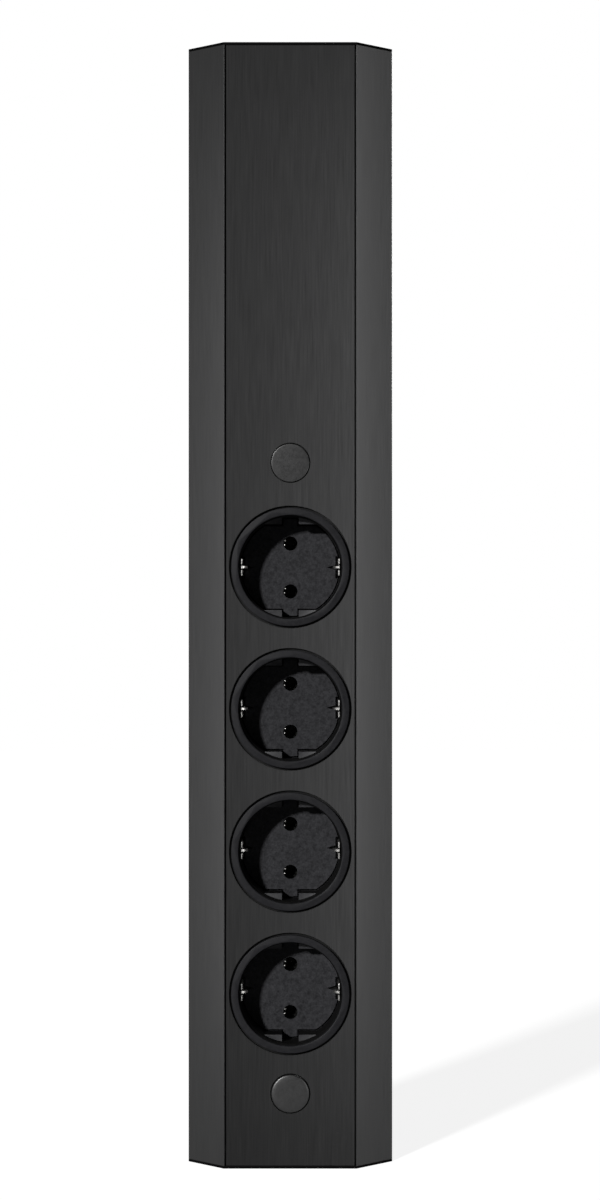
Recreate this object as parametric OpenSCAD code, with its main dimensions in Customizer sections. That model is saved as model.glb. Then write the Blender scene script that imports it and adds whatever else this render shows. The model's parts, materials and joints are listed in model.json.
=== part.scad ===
// Corner socket tower: four earthed sockets in a black aluminium extrusion for an inner wall corner.
// X runs to the right, Y from the front back to the wall corner, and Z up.
// The origin lies on the foot, under the middle of the outer box.
// Depths are measured back from the front face of the brushed panel.

/* [Tower] */
// Height over both end caps
tower_h = 440; // [430:1:600]
// Width of the flat spine at the back
spine_w = 24; // [22:0.1:27]
// Free depth between the socket bases and the spine
spine_gap = 7.7; // [7:0.1:10]
// Thickness of the extrusion's walls
wall_t = 1.8; // [1.5:0.1:2.1]
// Radius on the outer edges of the extrusion
edge_r = 0.8; // [0.4:0.1:1.2]

/* [Front] */
// Thickness of the brushed front panel
panel_t = 1.5; // [1.2:0.1:2]
// Strip of the panel left beside each socket's cut-out
panel_margin = 1.2; // [1:0.1:3]
// Shadow groove between the panel and each front corner
groove_w = 0.6; // [0.4:0.1:0.8]
// Flat top of the lip beside the groove
lip_w = 0.3; // [0.2:0.1:0.5]
// Thickness of the steel chassis strip behind the panel
carrier_t = 1.2; // [1:0.1:1.6]
// How far the chassis strip stays inside the panel's edge
carrier_inset = 0.1; // [0.1:0.1:0.3]
// Width of the ledge under each edge of the chassis strip
ledge_w = 1.4; // [1.1:0.1:1.6]
// Thickness of the ledge
ledge_t = 1.6; // [1.2:0.1:2]
// Gap at each end of the panel and the chassis strip
end_gap = 0.15; // [0.1:0.05:0.4]

/* [Sockets] */
// Height of the lowest socket's centre
lowest_socket_z = 68.2; // [66:0.1:75]
// Strip of the panel left between two sockets' cut-outs
socket_gap = 7.8; // [6.5:0.1:12]
// Width of the ring around the socket's mouth
ring_w = 2.8; // [2.5:0.1:3.4]
// How far the ring stands proud of the panel
ring_proud = 0.8; // [0.4:0.1:1.5]
// Shadow gap around the ring
ring_gap = 0.8; // [0.5:0.1:0.9]
// How much wider than the recess the mouth is on each side
mouth_step = 0.5; // [0.3:0.1:0.8]
// Depth of the wider mouth
mouth_depth = 1.8; // [1:0.1:2.5]
// Radius that rounds the ring's inner lip
lip_r = 0.3; // [0.2:0.1:0.8]
// Diameter of the recess that takes the plug
recess_d = 39.6; // [38:0.1:42]
// Depth of the recess below the ring
recess_depth = 17.5; // [16:0.1:18.5]
// Wall of the threaded barrel
barrel_wall = 1.6; // [1.4:0.1:2]
// Thickness of the recess floor
floor_t = 3; // [2.5:0.1:3.5]
// Width of the groove that runs round the floor, along its wall, ribs and slots
floor_groove_w = 0.5; // [0.4:0.05:0.7]
// Depth of that groove and of the pointed notch under each nose
floor_groove_depth = 1.6; // [1:0.1:2]
// Share of the recess's diameter between the two pin holes
pin_share = 0.48; // [0.475:0.005:0.49]
// Diameter of a pin hole
pin_hole_d = 5.6; // [5.2:0.1:5.8]
// Height of the guide ribs above the recess wall
rib_rise = 2.9; // [2.4:0.1:3.4]
// Depth of the front of the guide ribs
rib_front = 6.5; // [4:0.1:9]
// Width of the channel between the guide ribs
rib_channel = 6.6; // [6:0.1:7.4]

/* [Retaining nut] */
// Gap between the retaining nut and the ledges
nut_gap = 0.3; // [0.2:0.1:0.8]
// Thickness of the retaining nut
nut_t = 4; // [3:0.1:5]
// Number of spanner notches in the nut
nut_notches = 8; // [6:1:10]
// Width of a spanner notch
notch_w = 3; // [2:0.1:4]
// Depth of a spanner notch
notch_depth = 1.5; // [1:0.1:2]

/* [Earth contacts] */
// Height of an earth finger
finger_h = 6.8; // [6:0.1:7.2]
// Thickness of an earth finger
finger_t = 0.8; // [0.6:0.1:0.9]
// How far inside the recess wall the middle of the finger is
finger_inset = 0.6; // [0.4:0.05:0.8]
// Depth of the finger's front end
finger_front = 4.8; // [4.4:0.1:6]
// How far the finger's nose reaches in from the finger
nose_reach = 2.4; // [1.8:0.1:2.8]
// Depth of the nose's tip
nose_depth = 8; // [7.6:0.1:9]
// Length of the nose along the finger
nose_len = 6; // [4:0.1:6.2]
// Height of the nose
nose_h = 1.2; // [0.9:0.1:2]
// Thickness of the earth yoke
yoke_t = 1; // [0.8:0.1:1.2]

/* [Socket base] */
// Gap between the insulating base and an earth finger
base_gap = 1.8; // [1.5:0.1:2.4]
// How far the base reaches past its mounting posts
base_margin = 1.5; // [1.2:0.1:2.4]
// Wall of the base around its pockets
base_wall = 2.4; // [2:0.1:2.8]
// Bevel along the base's rear side edges
base_bevel = 1.5; // [1:0.1:2.4]
// Bore of a pin contact
contact_bore = 4.4; // [4:0.1:4.7]
// Wall of a pin contact
contact_wall = 1.1; // [0.9:0.1:1.2]
// How far a pin contact stays behind the socket's floor
contact_recess = 5.4; // [4.6:0.1:6]
// Room for a plug's pin, from the recess floor back
pin_room = 19; // [18:0.5:19.5]
// Wall of the two wells in which the contacts' ends stand
well_wall = 0.9; // [0.8:0.1:1]
// Width of a terminal
terminal_w = 5.2; // [4.8:0.1:5.4]
// Height of a terminal
terminal_h = 7; // [6:0.1:7.2]
// Distance from the earth yoke back to the middle of the wires
wire_back = 6.2; // [5.4:0.1:7]
// Length of a terminal behind the middle of the wires
terminal_tail = 4.1; // [3.6:0.1:5]
// Gap between a mounting post and the line of the recess wall
post_inset = 0.8; // [0.6:0.1:1]
// Diameter of a mounting post
post_d = 4.8; // [4.4:0.1:5]
// Length of a mounting post
post_len = 8; // [7:0.1:9]

/* [Screw covers] */
// Diameter of a screw cover
cover_d = 15; // [14:0.1:17]
// Gap around a screw cover
cover_gap = 0.3; // [0.2:0.05:0.4]
// How far the upper cover stands proud of the panel
upper_cover_proud = 0.2; // [0.1:0.1:0.8]
// How far the lower cover stands proud of the panel
lower_cover_proud = 0.6; // [0.1:0.1:0.8]
// Distance from the lowest socket down to the lower cover
lower_cover_drop = 38.9; // [38:0.1:42]
// Distance from the highest socket up to the upper cover
upper_cover_rise = 40.7; // [38:0.1:44]
// Gap around the cover's snap skirt
skirt_gap = 0.2; // [0.15:0.05:0.4]
// Wall of the snap skirt
skirt_t = 1; // [0.8:0.1:1.2]
// Length of the snap skirt
skirt_len = 3; // [2:0.1:3.6]
// Width of the slits in the snap skirt
skirt_slit = 1.2; // [0.8:0.1:1.6]

/* [Panel fixings] */
// Seat of a cover around the drawn cup that holds the screw's head
cover_seat = 1; // [0.8:0.1:1.4]
// Depth from the chassis strip's front to the inside of a drawn cup
dimple_depth = 4.3; // [4:0.1:5]
// Thread diameter of the fixing screws and the bonding screw
fixing_d = 4; // [3.8:0.1:4.1]
// Length of a fixing screw below its head
fixing_len = 11; // [9:0.1:14]
// Head diameter of the fixing screws and the bonding screw
fixing_head_d = 8; // [7:0.1:8.6]
// Head height of the fixing screws and the bonding screw
fixing_head_h = 2.6; // [2:0.1:2.8]
// Height of a clamp bar
clamp_h = 14; // [12:0.1:16]
// Thickness of a clamp bar's web
clamp_t = 2; // [1.6:0.1:2.4]
// Width of a clamp bar's feet
clamp_foot = 2; // [1.5:0.1:2.4]
// Outer diameter of the press nut's barrel
press_nut_d = 6; // [5.6:0.1:6.6]
// Flange diameter of the press nut
press_nut_flange_d = 9; // [8:0.1:10]
// Thickness of the press nut's flange
press_nut_flange_t = 1; // [0.8:0.1:1.4]
// Length of the press nut behind the clamp bar
press_nut_len = 6; // [5:0.1:8]

/* [End caps] */
// Thickness of the cap plate that shows at each end
cap_t = 1; // [0.9:0.1:1.4]
// Length of the cap's spigot inside the extrusion
spigot_len = 5; // [4:0.1:8]
// Wall of the spigot
spigot_t = 1.6; // [1.2:0.1:2]
// Gap between the spigot and the extrusion
spigot_gap = 0.3; // [0.2:0.05:0.5]
// Diameter of the screw ports in the extrusion
port_d = 2.8; // [2.6:0.1:3]
// Outer diameter of the screw port walls
port_wall_d = 6; // [5.6:0.1:6.2]
// Head diameter of the cap screws
cap_head_d = 6; // [5.6:0.1:6.2]
// Length of a cap screw
cap_screw_len = 12; // [9:0.1:16]

/* [Wall holes and cable inlet] */
// Diameter of the four wall screw holes
wall_hole_d = 4.5; // [4:0.1:5.5]
// Height of the lower wall screw holes
wall_hole_low = 36; // [30:1:40]
// Distance from the top down to the upper wall screw holes
wall_hole_drop = 60; // [50:1:70]
// Height of the cable inlet, as a share of the way from the upper cover to the top
inlet_share = 0.769; // [0.76:0.001:0.78]
// Gap between the grommet's flange and the rear screw ports
grommet_gap = 0.42; // [0.3:0.02:1]
// How far the grommet's flange reaches past the hole in the spine
grommet_lip = 1.3; // [1.1:0.1:1.6]
// Wall of the grommet between the hole in the spine and its bore
grommet_wall = 1.5; // [1.2:0.1:1.8]
// Flange thickness of the grommet
grommet_flange_t = 1.2; // [1:0.1:1.6]

/* [Wiring] */
// Outer diameter of an insulated wire
wire_d = 2.6; // [2.2:0.1:2.8]
// Diameter of the bare copper core
core_d = 1.4; // [1.2:0.1:1.5]
// Height of the terminal block, as a share of the way from the upper cover to the top
block_share = 0.306; // [0.3:0.001:0.33]
// Width of the terminal block
block_w = 36; // [34:0.1:38]
// Height of the terminal block
block_h = 16; // [15:0.1:18]
// Depth of the terminal block
block_depth = 18.3; // [17.5:0.1:19]
// Depth of the wires in the terminal block
block_wire_depth = 11; // [10.6:0.1:11.4]
// Thread diameter of the terminal block's mounting screws
block_screw_d = 2.8; // [2.6:0.1:3]
// Outer diameter of a clamp sleeve
sleeve_d = 5.2; // [4.8:0.1:5.4]
// Bore of a clamp sleeve
sleeve_bore = 3.6; // [3.2:0.1:3.8]
// Length of a clamp sleeve
sleeve_len = 12; // [11:0.1:13]
// Height of the bonding screw, as a share of the way from the upper cover to the top
bond_share = 0.586; // [0.57:0.001:0.6]

/* [Hidden] */
// Number of sockets
socket_count = 4;
SOCKET_PIECES = [
    "cup", "retaining_nut", "line_contact", "neutral_contact", "earth_yoke",
    "earth_finger_left", "earth_finger_right", "base", "base_screws"
];
NODES = concat(
    ["body_profile", "front_panel", "socket_carrier", "top_end_cap", "bottom_end_cap"],
    ["top_cap_screws", "bottom_cap_screws", "upper_screw_cover", "lower_screw_cover"],
    ["fixing_screws", "clamp_bars", "press_nuts", "cable_grommet"],
    ["terminal_block", "terminal_sleeves", "terminal_clamp_screws", "terminal_block_screws"],
    ["line_wires", "neutral_wires", "earth_wires", "earth_bond_lead", "earth_bond_screw"],
    ["socket_terminal_screws"],
    [for (i = [1:socket_count]) for (piece = SOCKET_PIECES) str("socket_", i, "_", piece)]
);
node = "all";
$fn = 72;

// Shared by every cut, so that it breaks cleanly through a face
overrun = 1;
// Running clearance between parts that slip into each other
slip = 0.15;
// Clearance around screws in their through holes
screw_gap = 0.15;
// Clearance of a screw inside its thread
thread_gap = 0.05;
// Gap under a part that seats on another but moves
seat_gap = 0.1;
// Ledge left between a groove and the wall beside it
groove_ledge = 0.05;
// How much a wire swells where it bends
bend_swell = 0.05;
// Steps of the short arcs that round an outline
arc_steps = 4;

black_metal = "#2e2e2f";
black_plastic = "#1b1b1c";
dark_plastic = "#26272a";
zinc = "#b9bdc0";
brass = "#c9a24a";
nickel = "#cfcfca";
rubber = "#161616";
white_nylon = "#d8d6cf";
brown_wire = "#6b3a20";
blue_wire = "#2b5fa8";
green_wire = "#5d9a34";

// Sockets, numbered from the top, and their depths
recess_r = recess_d / 2;
mouth_r = recess_r + mouth_step;
ring_r = mouth_r + ring_w;
barrel_r = recess_r + barrel_wall;
cut_out_r = ring_r + ring_gap;
carrier_hole_r = barrel_r + slip;
ring_edge_r = ring_proud / 3;
socket_pitch = cut_out_r * 2 + socket_gap;
function socket_z(i) = lowest_socket_z + (socket_count - i) * socket_pitch;
pin_z = recess_d * pin_share / 2;
pin_hole_r = pin_hole_d / 2;
rib_chord = recess_r - rib_rise;
recess_floor = recess_depth - ring_proud;
cup_back = recess_floor + floor_t;
yoke_front = cup_back + seat_gap;
yoke_back = yoke_front + yoke_t;
pocket_gap = 0.2;
wire_depth = yoke_back + wire_back;
terminal_back = wire_depth + terminal_tail;
pocket_back = terminal_back + pocket_gap;
base_back = pocket_back + base_wall;

// The outer section, with the depth measured from the panel's face
half_front = cut_out_r + panel_margin + groove_w + lip_w;
half_spine = spine_w / 2;
spine_depth = base_back + spine_gap + wall_t;
// Sideways run of each slanted facet, which goes back as far as it goes out
facet_run = (spine_depth + half_spine - half_front) / 2;
half_width = half_front + facet_run;
diagonal = sqrt(2);
// Sum of x and depth along the outer face of a wall flange
flange_sum = half_spine + spine_depth;
front_y = (ring_proud - spine_depth - seat_gap - grommet_flange_t) / 2;

// The front opening, from the groove back to the ledge
groove_x = half_front - lip_w;
panel_half = groove_x - groove_w;
carrier_half = panel_half - carrier_inset;
ledge_front = panel_t + carrier_t;
ledge_back = ledge_front + ledge_t;
ledge_x = groove_x - ledge_w;
body_low = cap_t;
body_high = tower_h - cap_t;
spine_inside = spine_depth - wall_t;

// The screw ports, tangent to two walls and sunk a little into them
port_r = port_d / 2;
port_wall_r = port_wall_d / 2;
port_sink_share = 0.28;
port_reach = port_wall_r - wall_t * port_sink_share;
outer_port_x = half_front + facet_run - (wall_t + port_reach) * diagonal;
rear_port_depth = spine_inside - port_reach;
rear_port_x = flange_sum - (wall_t + port_reach) * diagonal - rear_port_depth;
port_places = [
    [outer_port_x, facet_run], [-outer_port_x, facet_run],
    [rear_port_x, rear_port_depth], [-rear_port_x, rear_port_depth]
];

// The countersunk screws of the end caps
cap_head_r = cap_head_d / 2;
cap_shank_r = port_r - thread_gap;
cap_head_recess = cap_t / 5;
cap_head_h = cap_head_r - cap_shank_r;
cap_hole_r = cap_head_r + cap_head_recess + screw_gap;

// Retaining nut, earth fingers, yoke and the slots that they work in
nut_r = ledge_x - nut_gap;
nut_back = ledge_front + nut_t;
finger_x = recess_r - finger_inset;
nose_x = finger_x - nose_reach;
slot_gap = 0.4;
knuckle_r = finger_t * 3 / 4;
knuckle_gap = slip;
hinge_depth = cup_back + seat_gap + yoke_t / 2;
slot_inside = finger_x - finger_t / 2 - slot_gap;
slot_half = finger_h / 2 + slot_gap;
slot_front = finger_front - slot_gap;
notch_tip = nose_x - nose_h * 2;
yoke_half = finger_x - knuckle_r - knuckle_gap;

// The insulating base and the terminals in its pockets
base_half = finger_x - finger_t / 2 - base_gap;
post_r = post_d / 2;
post_z = recess_r - post_inset - post_r;
base_top = post_z + post_r + base_margin;
contact_bore_r = contact_bore / 2;
contact_r = contact_bore_r + contact_wall;
contact_front = cup_back + contact_recess;
contact_len = recess_floor + pin_room - contact_front;
contact_back = contact_front + contact_len;
contact_slit = contact_bore / 5;
strap_back = terminal_back;
strap_front = strap_back - yoke_t;
strap_half = terminal_h / 3;
well_r = contact_r + pocket_gap + well_wall;
well_back = contact_back + pocket_gap + well_wall;
terminal_half = terminal_w / 2;
terminal_x = base_half - base_wall - terminal_half;
earth_x = (terminal_x - terminal_half + contact_r) / 2;
wire_r = wire_d / 2;
core_r = core_d / 2;
core_hole_r = core_r + screw_gap;
wire_room = 0.3;
wire_hole_r = wire_r + wire_room;
terminal_screw_r = terminal_w / 4;
terminal_head_r = terminal_w * 2 / 5;
terminal_head_h = base_wall * 2 / 3;
terminal_access_r = terminal_head_r + pocket_gap;
post_back = cup_back + post_len;
post_pilot_r = post_r / 2;
post_screw_r = post_pilot_r - thread_gap;
post_screw_head_r = post_r + pocket_gap;
post_screw_head_h = base_wall * 3 / 4;
post_screw_len = base_back - post_back - base_wall + post_len * 3 / 4;

// Screw covers and the drawn cups behind them
lower_cover_z = lowest_socket_z - lower_cover_drop;
upper_cover_z = socket_z(1) + upper_cover_rise;
cover_r = cover_d / 2;
cover_hole_r = cover_r + cover_gap;
cover_edge_share = 0.25;
dimple_r = cover_r - cover_seat;
dimple_floor = panel_t + dimple_depth;
dimple_back = dimple_floor + carrier_t;
skirt_r = dimple_r - skirt_gap;
fixing_r = fixing_d / 2;
fixing_head_r = fixing_head_d / 2;
clamp_back = dimple_back + clamp_t;
clamp_out = half_front - wall_t * diagonal + ledge_back - slip * 2;
press_nut_r = press_nut_d / 2;
press_nut_flange_r = press_nut_flange_d / 2;

// Terminal block and bonding screw
free_h = tower_h - upper_cover_z;
block_z = upper_cover_z + free_h * block_share;
block_half = block_w / 2;
block_front = ledge_front;
block_back = block_front + block_depth;
block_low = block_z - block_h / 2;
block_high = block_z + block_h / 2;
sleeve_r = sleeve_d / 2;
sleeve_bore_r = sleeve_bore / 2;
clamp_screw_r = sleeve_bore_r * 3 / 4;
clamp_screw_head_r = sleeve_r * 3 / 4;
clamp_screw_z = sleeve_len / 4;
clamp_head_share = 0.7;
clamp_head_h = sleeve_r * clamp_head_share;
// Free length between a sleeve and the head of its clamp screw
clamp_travel = 1;
clamp_head_depth = block_wire_depth + sleeve_r + clamp_travel + clamp_head_h;
block_screw_x = terminal_x / 2;
block_screw_r = block_screw_d / 2;
block_screw_head_r = block_screw_r * 2;
block_screw_head_h = block_screw_r * 3 / 2;
bond_z = upper_cover_z + free_h * bond_share;
tag_t = wire_r * 2 / 3;
tag_r = fixing_head_r + tag_t / 2;
tag_front = spine_inside - tag_t;
bond_screw_depth = tag_front - fixing_head_h;

// Wall screw holes and the cable inlet
wall_hole_r = wall_hole_d / 2;
flange_middle = (half_width + half_spine) / 2;
wall_hole_heights = [wall_hole_low, tower_h - wall_hole_drop];
inlet_z = upper_cover_z + free_h * inlet_share;
grommet_flange_r = rear_port_x - port_wall_r - grommet_gap;
inlet_r = grommet_flange_r - grommet_lip;
grommet_r = inlet_r - seat_gap;
grommet_bore_r = inlet_r - grommet_wall;

// Points of an arc about a centre, from one angle to another
function arc(centre, r, from, to) = [
    for (i = [0:arc_steps])
        let (a = from + (to - from) * i / arc_steps)
        [centre[0] + r * cos(a), centre[1] + r * sin(a)]
];
function backwards(points) = [for (i = [len(points) - 1:-1:0]) points[i]];
// Mirrors points to the other side and keeps the outline's direction
function other_side(points) = [for (point = backwards(points)) [-point[0], point[1]]];

// Right half of the outer section: front corner, rounded outer corner, rounded spine corner
outer_half = concat(
    [[half_front, 0]],
    arc([half_width - edge_r * diagonal, facet_run], edge_r, -45, 45),
    arc([half_spine - edge_r * (diagonal - 1), spine_depth - edge_r], edge_r, 45, 90)
);
// The hollow behind the ledges, drawn in by a margin on every wall
function hollow_half(margin) =
    let (facet_line = half_front - (wall_t + margin) * diagonal)
    let (flange_line = flange_sum - (wall_t + margin) * diagonal)
    [
        [facet_line + ledge_back + margin, ledge_back + margin],
        [(facet_line + flange_line) / 2, (flange_line - facet_line) / 2],
        [flange_line - spine_inside + margin, spine_inside - margin]
    ];
function hollow(margin) = concat(hollow_half(margin), other_side(hollow_half(margin)));
// Half of the opening at the front: the groove's side and the ledge
opening_half = [[ledge_x, ledge_back], [ledge_x, ledge_front], [groove_x, ledge_front], [groove_x, 0]];

// Turns a shape that was drawn up the Z axis so that it runs back in depth
module along_depth() {
    rotate([-90, 0, 0]) children();
}
// Round bar along the depth, between two depths
module bar(r, front, back, x = 0, z = 0) {
    translate([x, front, z]) along_depth() cylinder(r = r, h = back - front);
}
// Upright round bar at a depth
module upright(r, low, high, x = 0, depth = 0) {
    translate([x, depth, low]) cylinder(r = r, h = high - low);
}
// Turned shape about the depth axis, from points of radius and depth
module turned(points) {
    along_depth() rotate_extrude() polygon(points);
}
// Box between two corners
module block(low, high) {
    translate(low) cube(high - low);
}
// Upright prism over an outline in x and depth
module prism(points, low, high) {
    translate([0, 0, low]) linear_extrude(high - low) polygon(points);
}
// Wire along straight runs with round bends
module wire_run(points, r) {
    for (i = [0:len(points) - 2]) {
        run = points[i + 1] - points[i];
        translate(points[i])
            rotate([0, acos(run[2] / norm(run)), atan2(run[1], run[0])])
            cylinder(r = r, h = norm(run));
        if (i > 0) translate(points[i]) sphere(r = r + bend_swell);
    }
}
// Puts a shape behind the panel's face, and a socket's piece at its height
module from_panel(z = 0) {
    translate([0, front_y, z]) children();
}
// Pan head screw along the depth, with a hexagonal recess
module pan_screw(r, head_r, head_h, head_front, tip) {
    difference() {
        union() {
            bar(head_r, head_front, head_front + head_h);
            bar(r, head_front, tip);
        }
        translate([0, head_front - overrun, 0]) along_depth()
            cylinder(r = head_r / 2, h = overrun + head_h / 2, $fn = 6);
    }
}

module body_profile() {
    color(black_metal) from_panel() difference() {
        translate([0, 0, body_low]) linear_extrude(body_high - body_low) difference() {
            union() {
                polygon(concat(
                    outer_half, other_side(outer_half),
                    other_side(opening_half), backwards(hollow(0)), opening_half
                ));
                for (place = port_places) translate(place) circle(r = port_wall_r);
            }
            for (place = port_places) translate(place) circle(r = port_r);
        }
        for (place = port_places) {
            translate([place[0], place[1], 0]) port_mouth();
            translate([place[0], place[1], tower_h]) mirror([0, 0, 1]) port_mouth();
        }
        for (z = wall_hole_heights) for (side = [-1, 1])
            translate([side * flange_middle, flange_sum - flange_middle, z])
                rotate([0, 90, 90 - side * 45])
                translate([0, 0, -wall_t - overrun])
                cylinder(r = wall_hole_r, h = wall_t + overrun * 2);
        bar(inlet_r, spine_inside - overrun, spine_depth + overrun, 0, inlet_z);
        bar(fixing_r, spine_inside - overrun, spine_depth + overrun, 0, bond_z);
    }
}
// Countersink of a cap screw, which runs on from the cap plate into the port
module port_mouth() {
    cylinder(r1 = cap_hole_r, r2 = 0, h = cap_hole_r);
}

module front_panel() {
    color(black_metal) from_panel() difference() {
        block([-panel_half, 0, body_low + end_gap], [panel_half, panel_t, body_high - end_gap]);
        for (i = [1:socket_count]) bar(cut_out_r, -overrun, panel_t + overrun, 0, socket_z(i));
        for (z = [lower_cover_z, upper_cover_z])
            bar(cover_hole_r, -overrun, panel_t + overrun, 0, z);
    }
}

module socket_carrier() {
    color(black_metal) from_panel() difference() {
        union() {
            block(
                [-carrier_half, panel_t, body_low + end_gap],
                [carrier_half, ledge_front, body_high - end_gap]
            );
            for (z = [lower_cover_z, upper_cover_z])
                bar(dimple_r + carrier_t, panel_t, dimple_back, 0, z);
        }
        for (i = [1:socket_count])
            bar(carrier_hole_r, panel_t - overrun, ledge_front + overrun, 0, socket_z(i));
        for (z = [lower_cover_z, upper_cover_z]) {
            bar(dimple_r, panel_t - overrun, dimple_floor, 0, z);
            bar(fixing_r + screw_gap, panel_t, dimple_back + overrun, 0, z);
        }
        for (side = [-1, 1])
            bar(
                block_screw_r + thread_gap, panel_t - overrun, ledge_front + overrun,
                side * block_screw_x, block_z
            );
    }
}

// End cap drawn for the foot, with its outer face at zero
module end_cap() {
    difference() {
        union() {
            prism(concat(outer_half, other_side(outer_half)), 0, cap_t);
            difference() {
                prism(hollow(spigot_gap), 0, cap_t + spigot_len);
                prism(hollow(spigot_gap + spigot_t), cap_t, cap_t + spigot_len + overrun);
                for (place = port_places)
                    upright(
                        port_wall_r + spigot_gap, cap_t, cap_t + spigot_len + overrun,
                        place[0], place[1]
                    );
            }
        }
        for (place = port_places) translate([place[0], place[1], 0]) port_mouth();
    }
}
module bottom_end_cap() {
    color(black_plastic) from_panel() end_cap();
}
module top_end_cap() {
    color(black_plastic) from_panel(tower_h) mirror([0, 0, 1]) end_cap();
}

// Countersunk cap screws with a cross recess, drawn for the foot
module cap_screws() {
    cross_w = cap_head_d / 6;
    cross_len = cap_head_d / 2;
    for (place = port_places) translate([place[0], place[1], cap_head_recess]) difference() {
        union() {
            cylinder(r1 = cap_head_r, r2 = cap_shank_r, h = cap_head_h);
            cylinder(r = cap_shank_r, h = cap_screw_len);
        }
        for (turn = [0, 90]) rotate([0, 0, turn])
            block([-cross_len / 2, -cross_w / 2, -overrun], [cross_len / 2, cross_w / 2, cap_head_h / 2]);
    }
}
module bottom_cap_screws() {
    color(black_metal) from_panel() cap_screws();
}
module top_cap_screws() {
    color(black_metal) from_panel(tower_h) mirror([0, 0, 1]) cap_screws();
}

// Snap-in cover: a disc with a rounded edge on a slit skirt
module screw_cover(proud) {
    back = panel_t - seat_gap;
    edge = (proud + back) * cover_edge_share;
    difference() {
        union() {
            turned(concat(
                [[0, back], [0, -proud]],
                arc([cover_r - edge, edge - proud], edge, -90, 0),
                [[cover_r, back]]
            ));
            bar(skirt_r, back - edge, back + skirt_len);
        }
        bar(skirt_r - skirt_t, back, back + skirt_len + overrun);
        for (turn = [45, 135]) rotate([0, turn, 0])
            block(
                [-skirt_r - overrun, back, -skirt_slit / 2],
                [skirt_r + overrun, back + skirt_len + overrun, skirt_slit / 2]
            );
    }
}
module upper_screw_cover() {
    color(black_plastic) from_panel(upper_cover_z) screw_cover(upper_cover_proud);
}
module lower_screw_cover() {
    color(black_plastic) from_panel(lower_cover_z) screw_cover(lower_cover_proud);
}

module fixing_screws() {
    color(zinc) for (z = [lower_cover_z, upper_cover_z]) from_panel(z)
        pan_screw(
            fixing_r, fixing_head_r, fixing_head_h,
            dimple_floor - fixing_head_h, dimple_floor + fixing_len
        );
}

// Channel-shaped bars whose feet pull against the back of the ledges
module clamp_bars() {
    foot_x = clamp_out - clamp_foot;
    outline = [
        [clamp_out, ledge_back], [clamp_out, clamp_back],
        [-clamp_out, clamp_back], [-clamp_out, ledge_back],
        [-foot_x, ledge_back], [-foot_x, dimple_back],
        [foot_x, dimple_back], [foot_x, ledge_back]
    ];
    color(zinc) for (z = [lower_cover_z, upper_cover_z]) from_panel(z) difference() {
        prism(outline, -clamp_h / 2, clamp_h / 2);
        bar(press_nut_r, dimple_back - overrun, clamp_back + overrun);
    }
}

module press_nuts() {
    color(zinc) for (z = [lower_cover_z, upper_cover_z]) from_panel(z) difference() {
        union() {
            bar(press_nut_r - thread_gap, dimple_back, clamp_back + press_nut_len);
            bar(press_nut_flange_r, clamp_back, clamp_back + press_nut_flange_t);
        }
        bar(fixing_r + thread_gap, dimple_back - overrun, clamp_back + press_nut_len + overrun);
    }
}

module cable_grommet() {
    inner = spine_inside - seat_gap;
    outer = spine_depth + seat_gap;
    color(rubber) from_panel(inlet_z) turned([
        [grommet_bore_r, inner - grommet_flange_t], [grommet_flange_r, inner - grommet_flange_t],
        [grommet_flange_r, inner], [grommet_r, inner], [grommet_r, outer],
        [grommet_flange_r, outer], [grommet_flange_r, outer + grommet_flange_t],
        [grommet_bore_r, outer + grommet_flange_t]
    ]);
}

// Socket cup: ring, stepped recess with guide ribs, floor and rear posts
module socket_cup() {
    color(black_plastic) difference() {
        union() {
            turned(concat(
                [[0, cup_back], [0, recess_floor], [recess_r, recess_floor]],
                [[recess_r, mouth_depth], [mouth_r, mouth_depth + recess_r - mouth_r]],
                arc([mouth_r + lip_r, lip_r - ring_proud], lip_r, -180, -90),
                arc([ring_r - ring_edge_r, ring_edge_r - ring_proud], ring_edge_r, -90, 0),
                [[ring_r, panel_t], [barrel_r, panel_t], [barrel_r, cup_back]]
            ));
            guide_ribs();
            for (side = [-1, 1]) bar(post_r, recess_floor + floor_t / 2, post_back, 0, side * post_z);
        }
        for (side = [-1, 1]) {
            bar(pin_hole_r, recess_floor - overrun, cup_back + overrun, 0, side * pin_z);
            bar(post_pilot_r, cup_back, post_back + overrun, 0, side * post_z);
        }
        translate([0, recess_floor + floor_groove_depth, 0]) rotate([90, 0, 0])
            linear_extrude(floor_groove_depth + overrun) difference() {
                floor_outline(groove_ledge);
                floor_outline(groove_ledge + floor_groove_w);
            }
        finger_slot();
        mirror([1, 0, 0]) finger_slot();
    }
}
// Outline of the recess floor, drawn in by a margin from the wall, the ribs and the slots
module floor_outline(margin) {
    difference() {
        circle(r = recess_r - margin);
        for (x_side = [-1, 1], z_side = [-1, 1])
            scale([x_side, z_side]) translate([rib_channel / 2 - margin, rib_chord - margin])
            square(barrel_r);
        for (x_side = [-1, 1])
            scale([x_side, 1]) translate([slot_inside - margin, -slot_half - margin])
            square([barrel_r, (slot_half + margin) * 2]);
    }
}
module guide_ribs() {
    rib_r = (recess_r + barrel_r) / 2;
    difference() {
        bar(rib_r, rib_front, recess_floor + floor_t / 2);
        block([-barrel_r, 0, -rib_chord], [barrel_r, cup_back, rib_chord]);
        block([-rib_channel / 2, 0, -barrel_r], [rib_channel / 2, cup_back, barrel_r]);
    }
}
// Slot for the right finger, with a blind pointed notch in the floor under its nose
module finger_slot() {
    block(
        [slot_inside, slot_front, -slot_half],
        [barrel_r + overrun, cup_back + overrun, slot_half]
    );
    translate([0, recess_floor + floor_groove_depth, 0]) rotate([90, 0, 0])
        linear_extrude(floor_groove_depth + overrun)
        polygon([[notch_tip, 0], [slot_inside + slot_gap, -nose_h], [slot_inside + slot_gap, nose_h]]);
}

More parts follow.
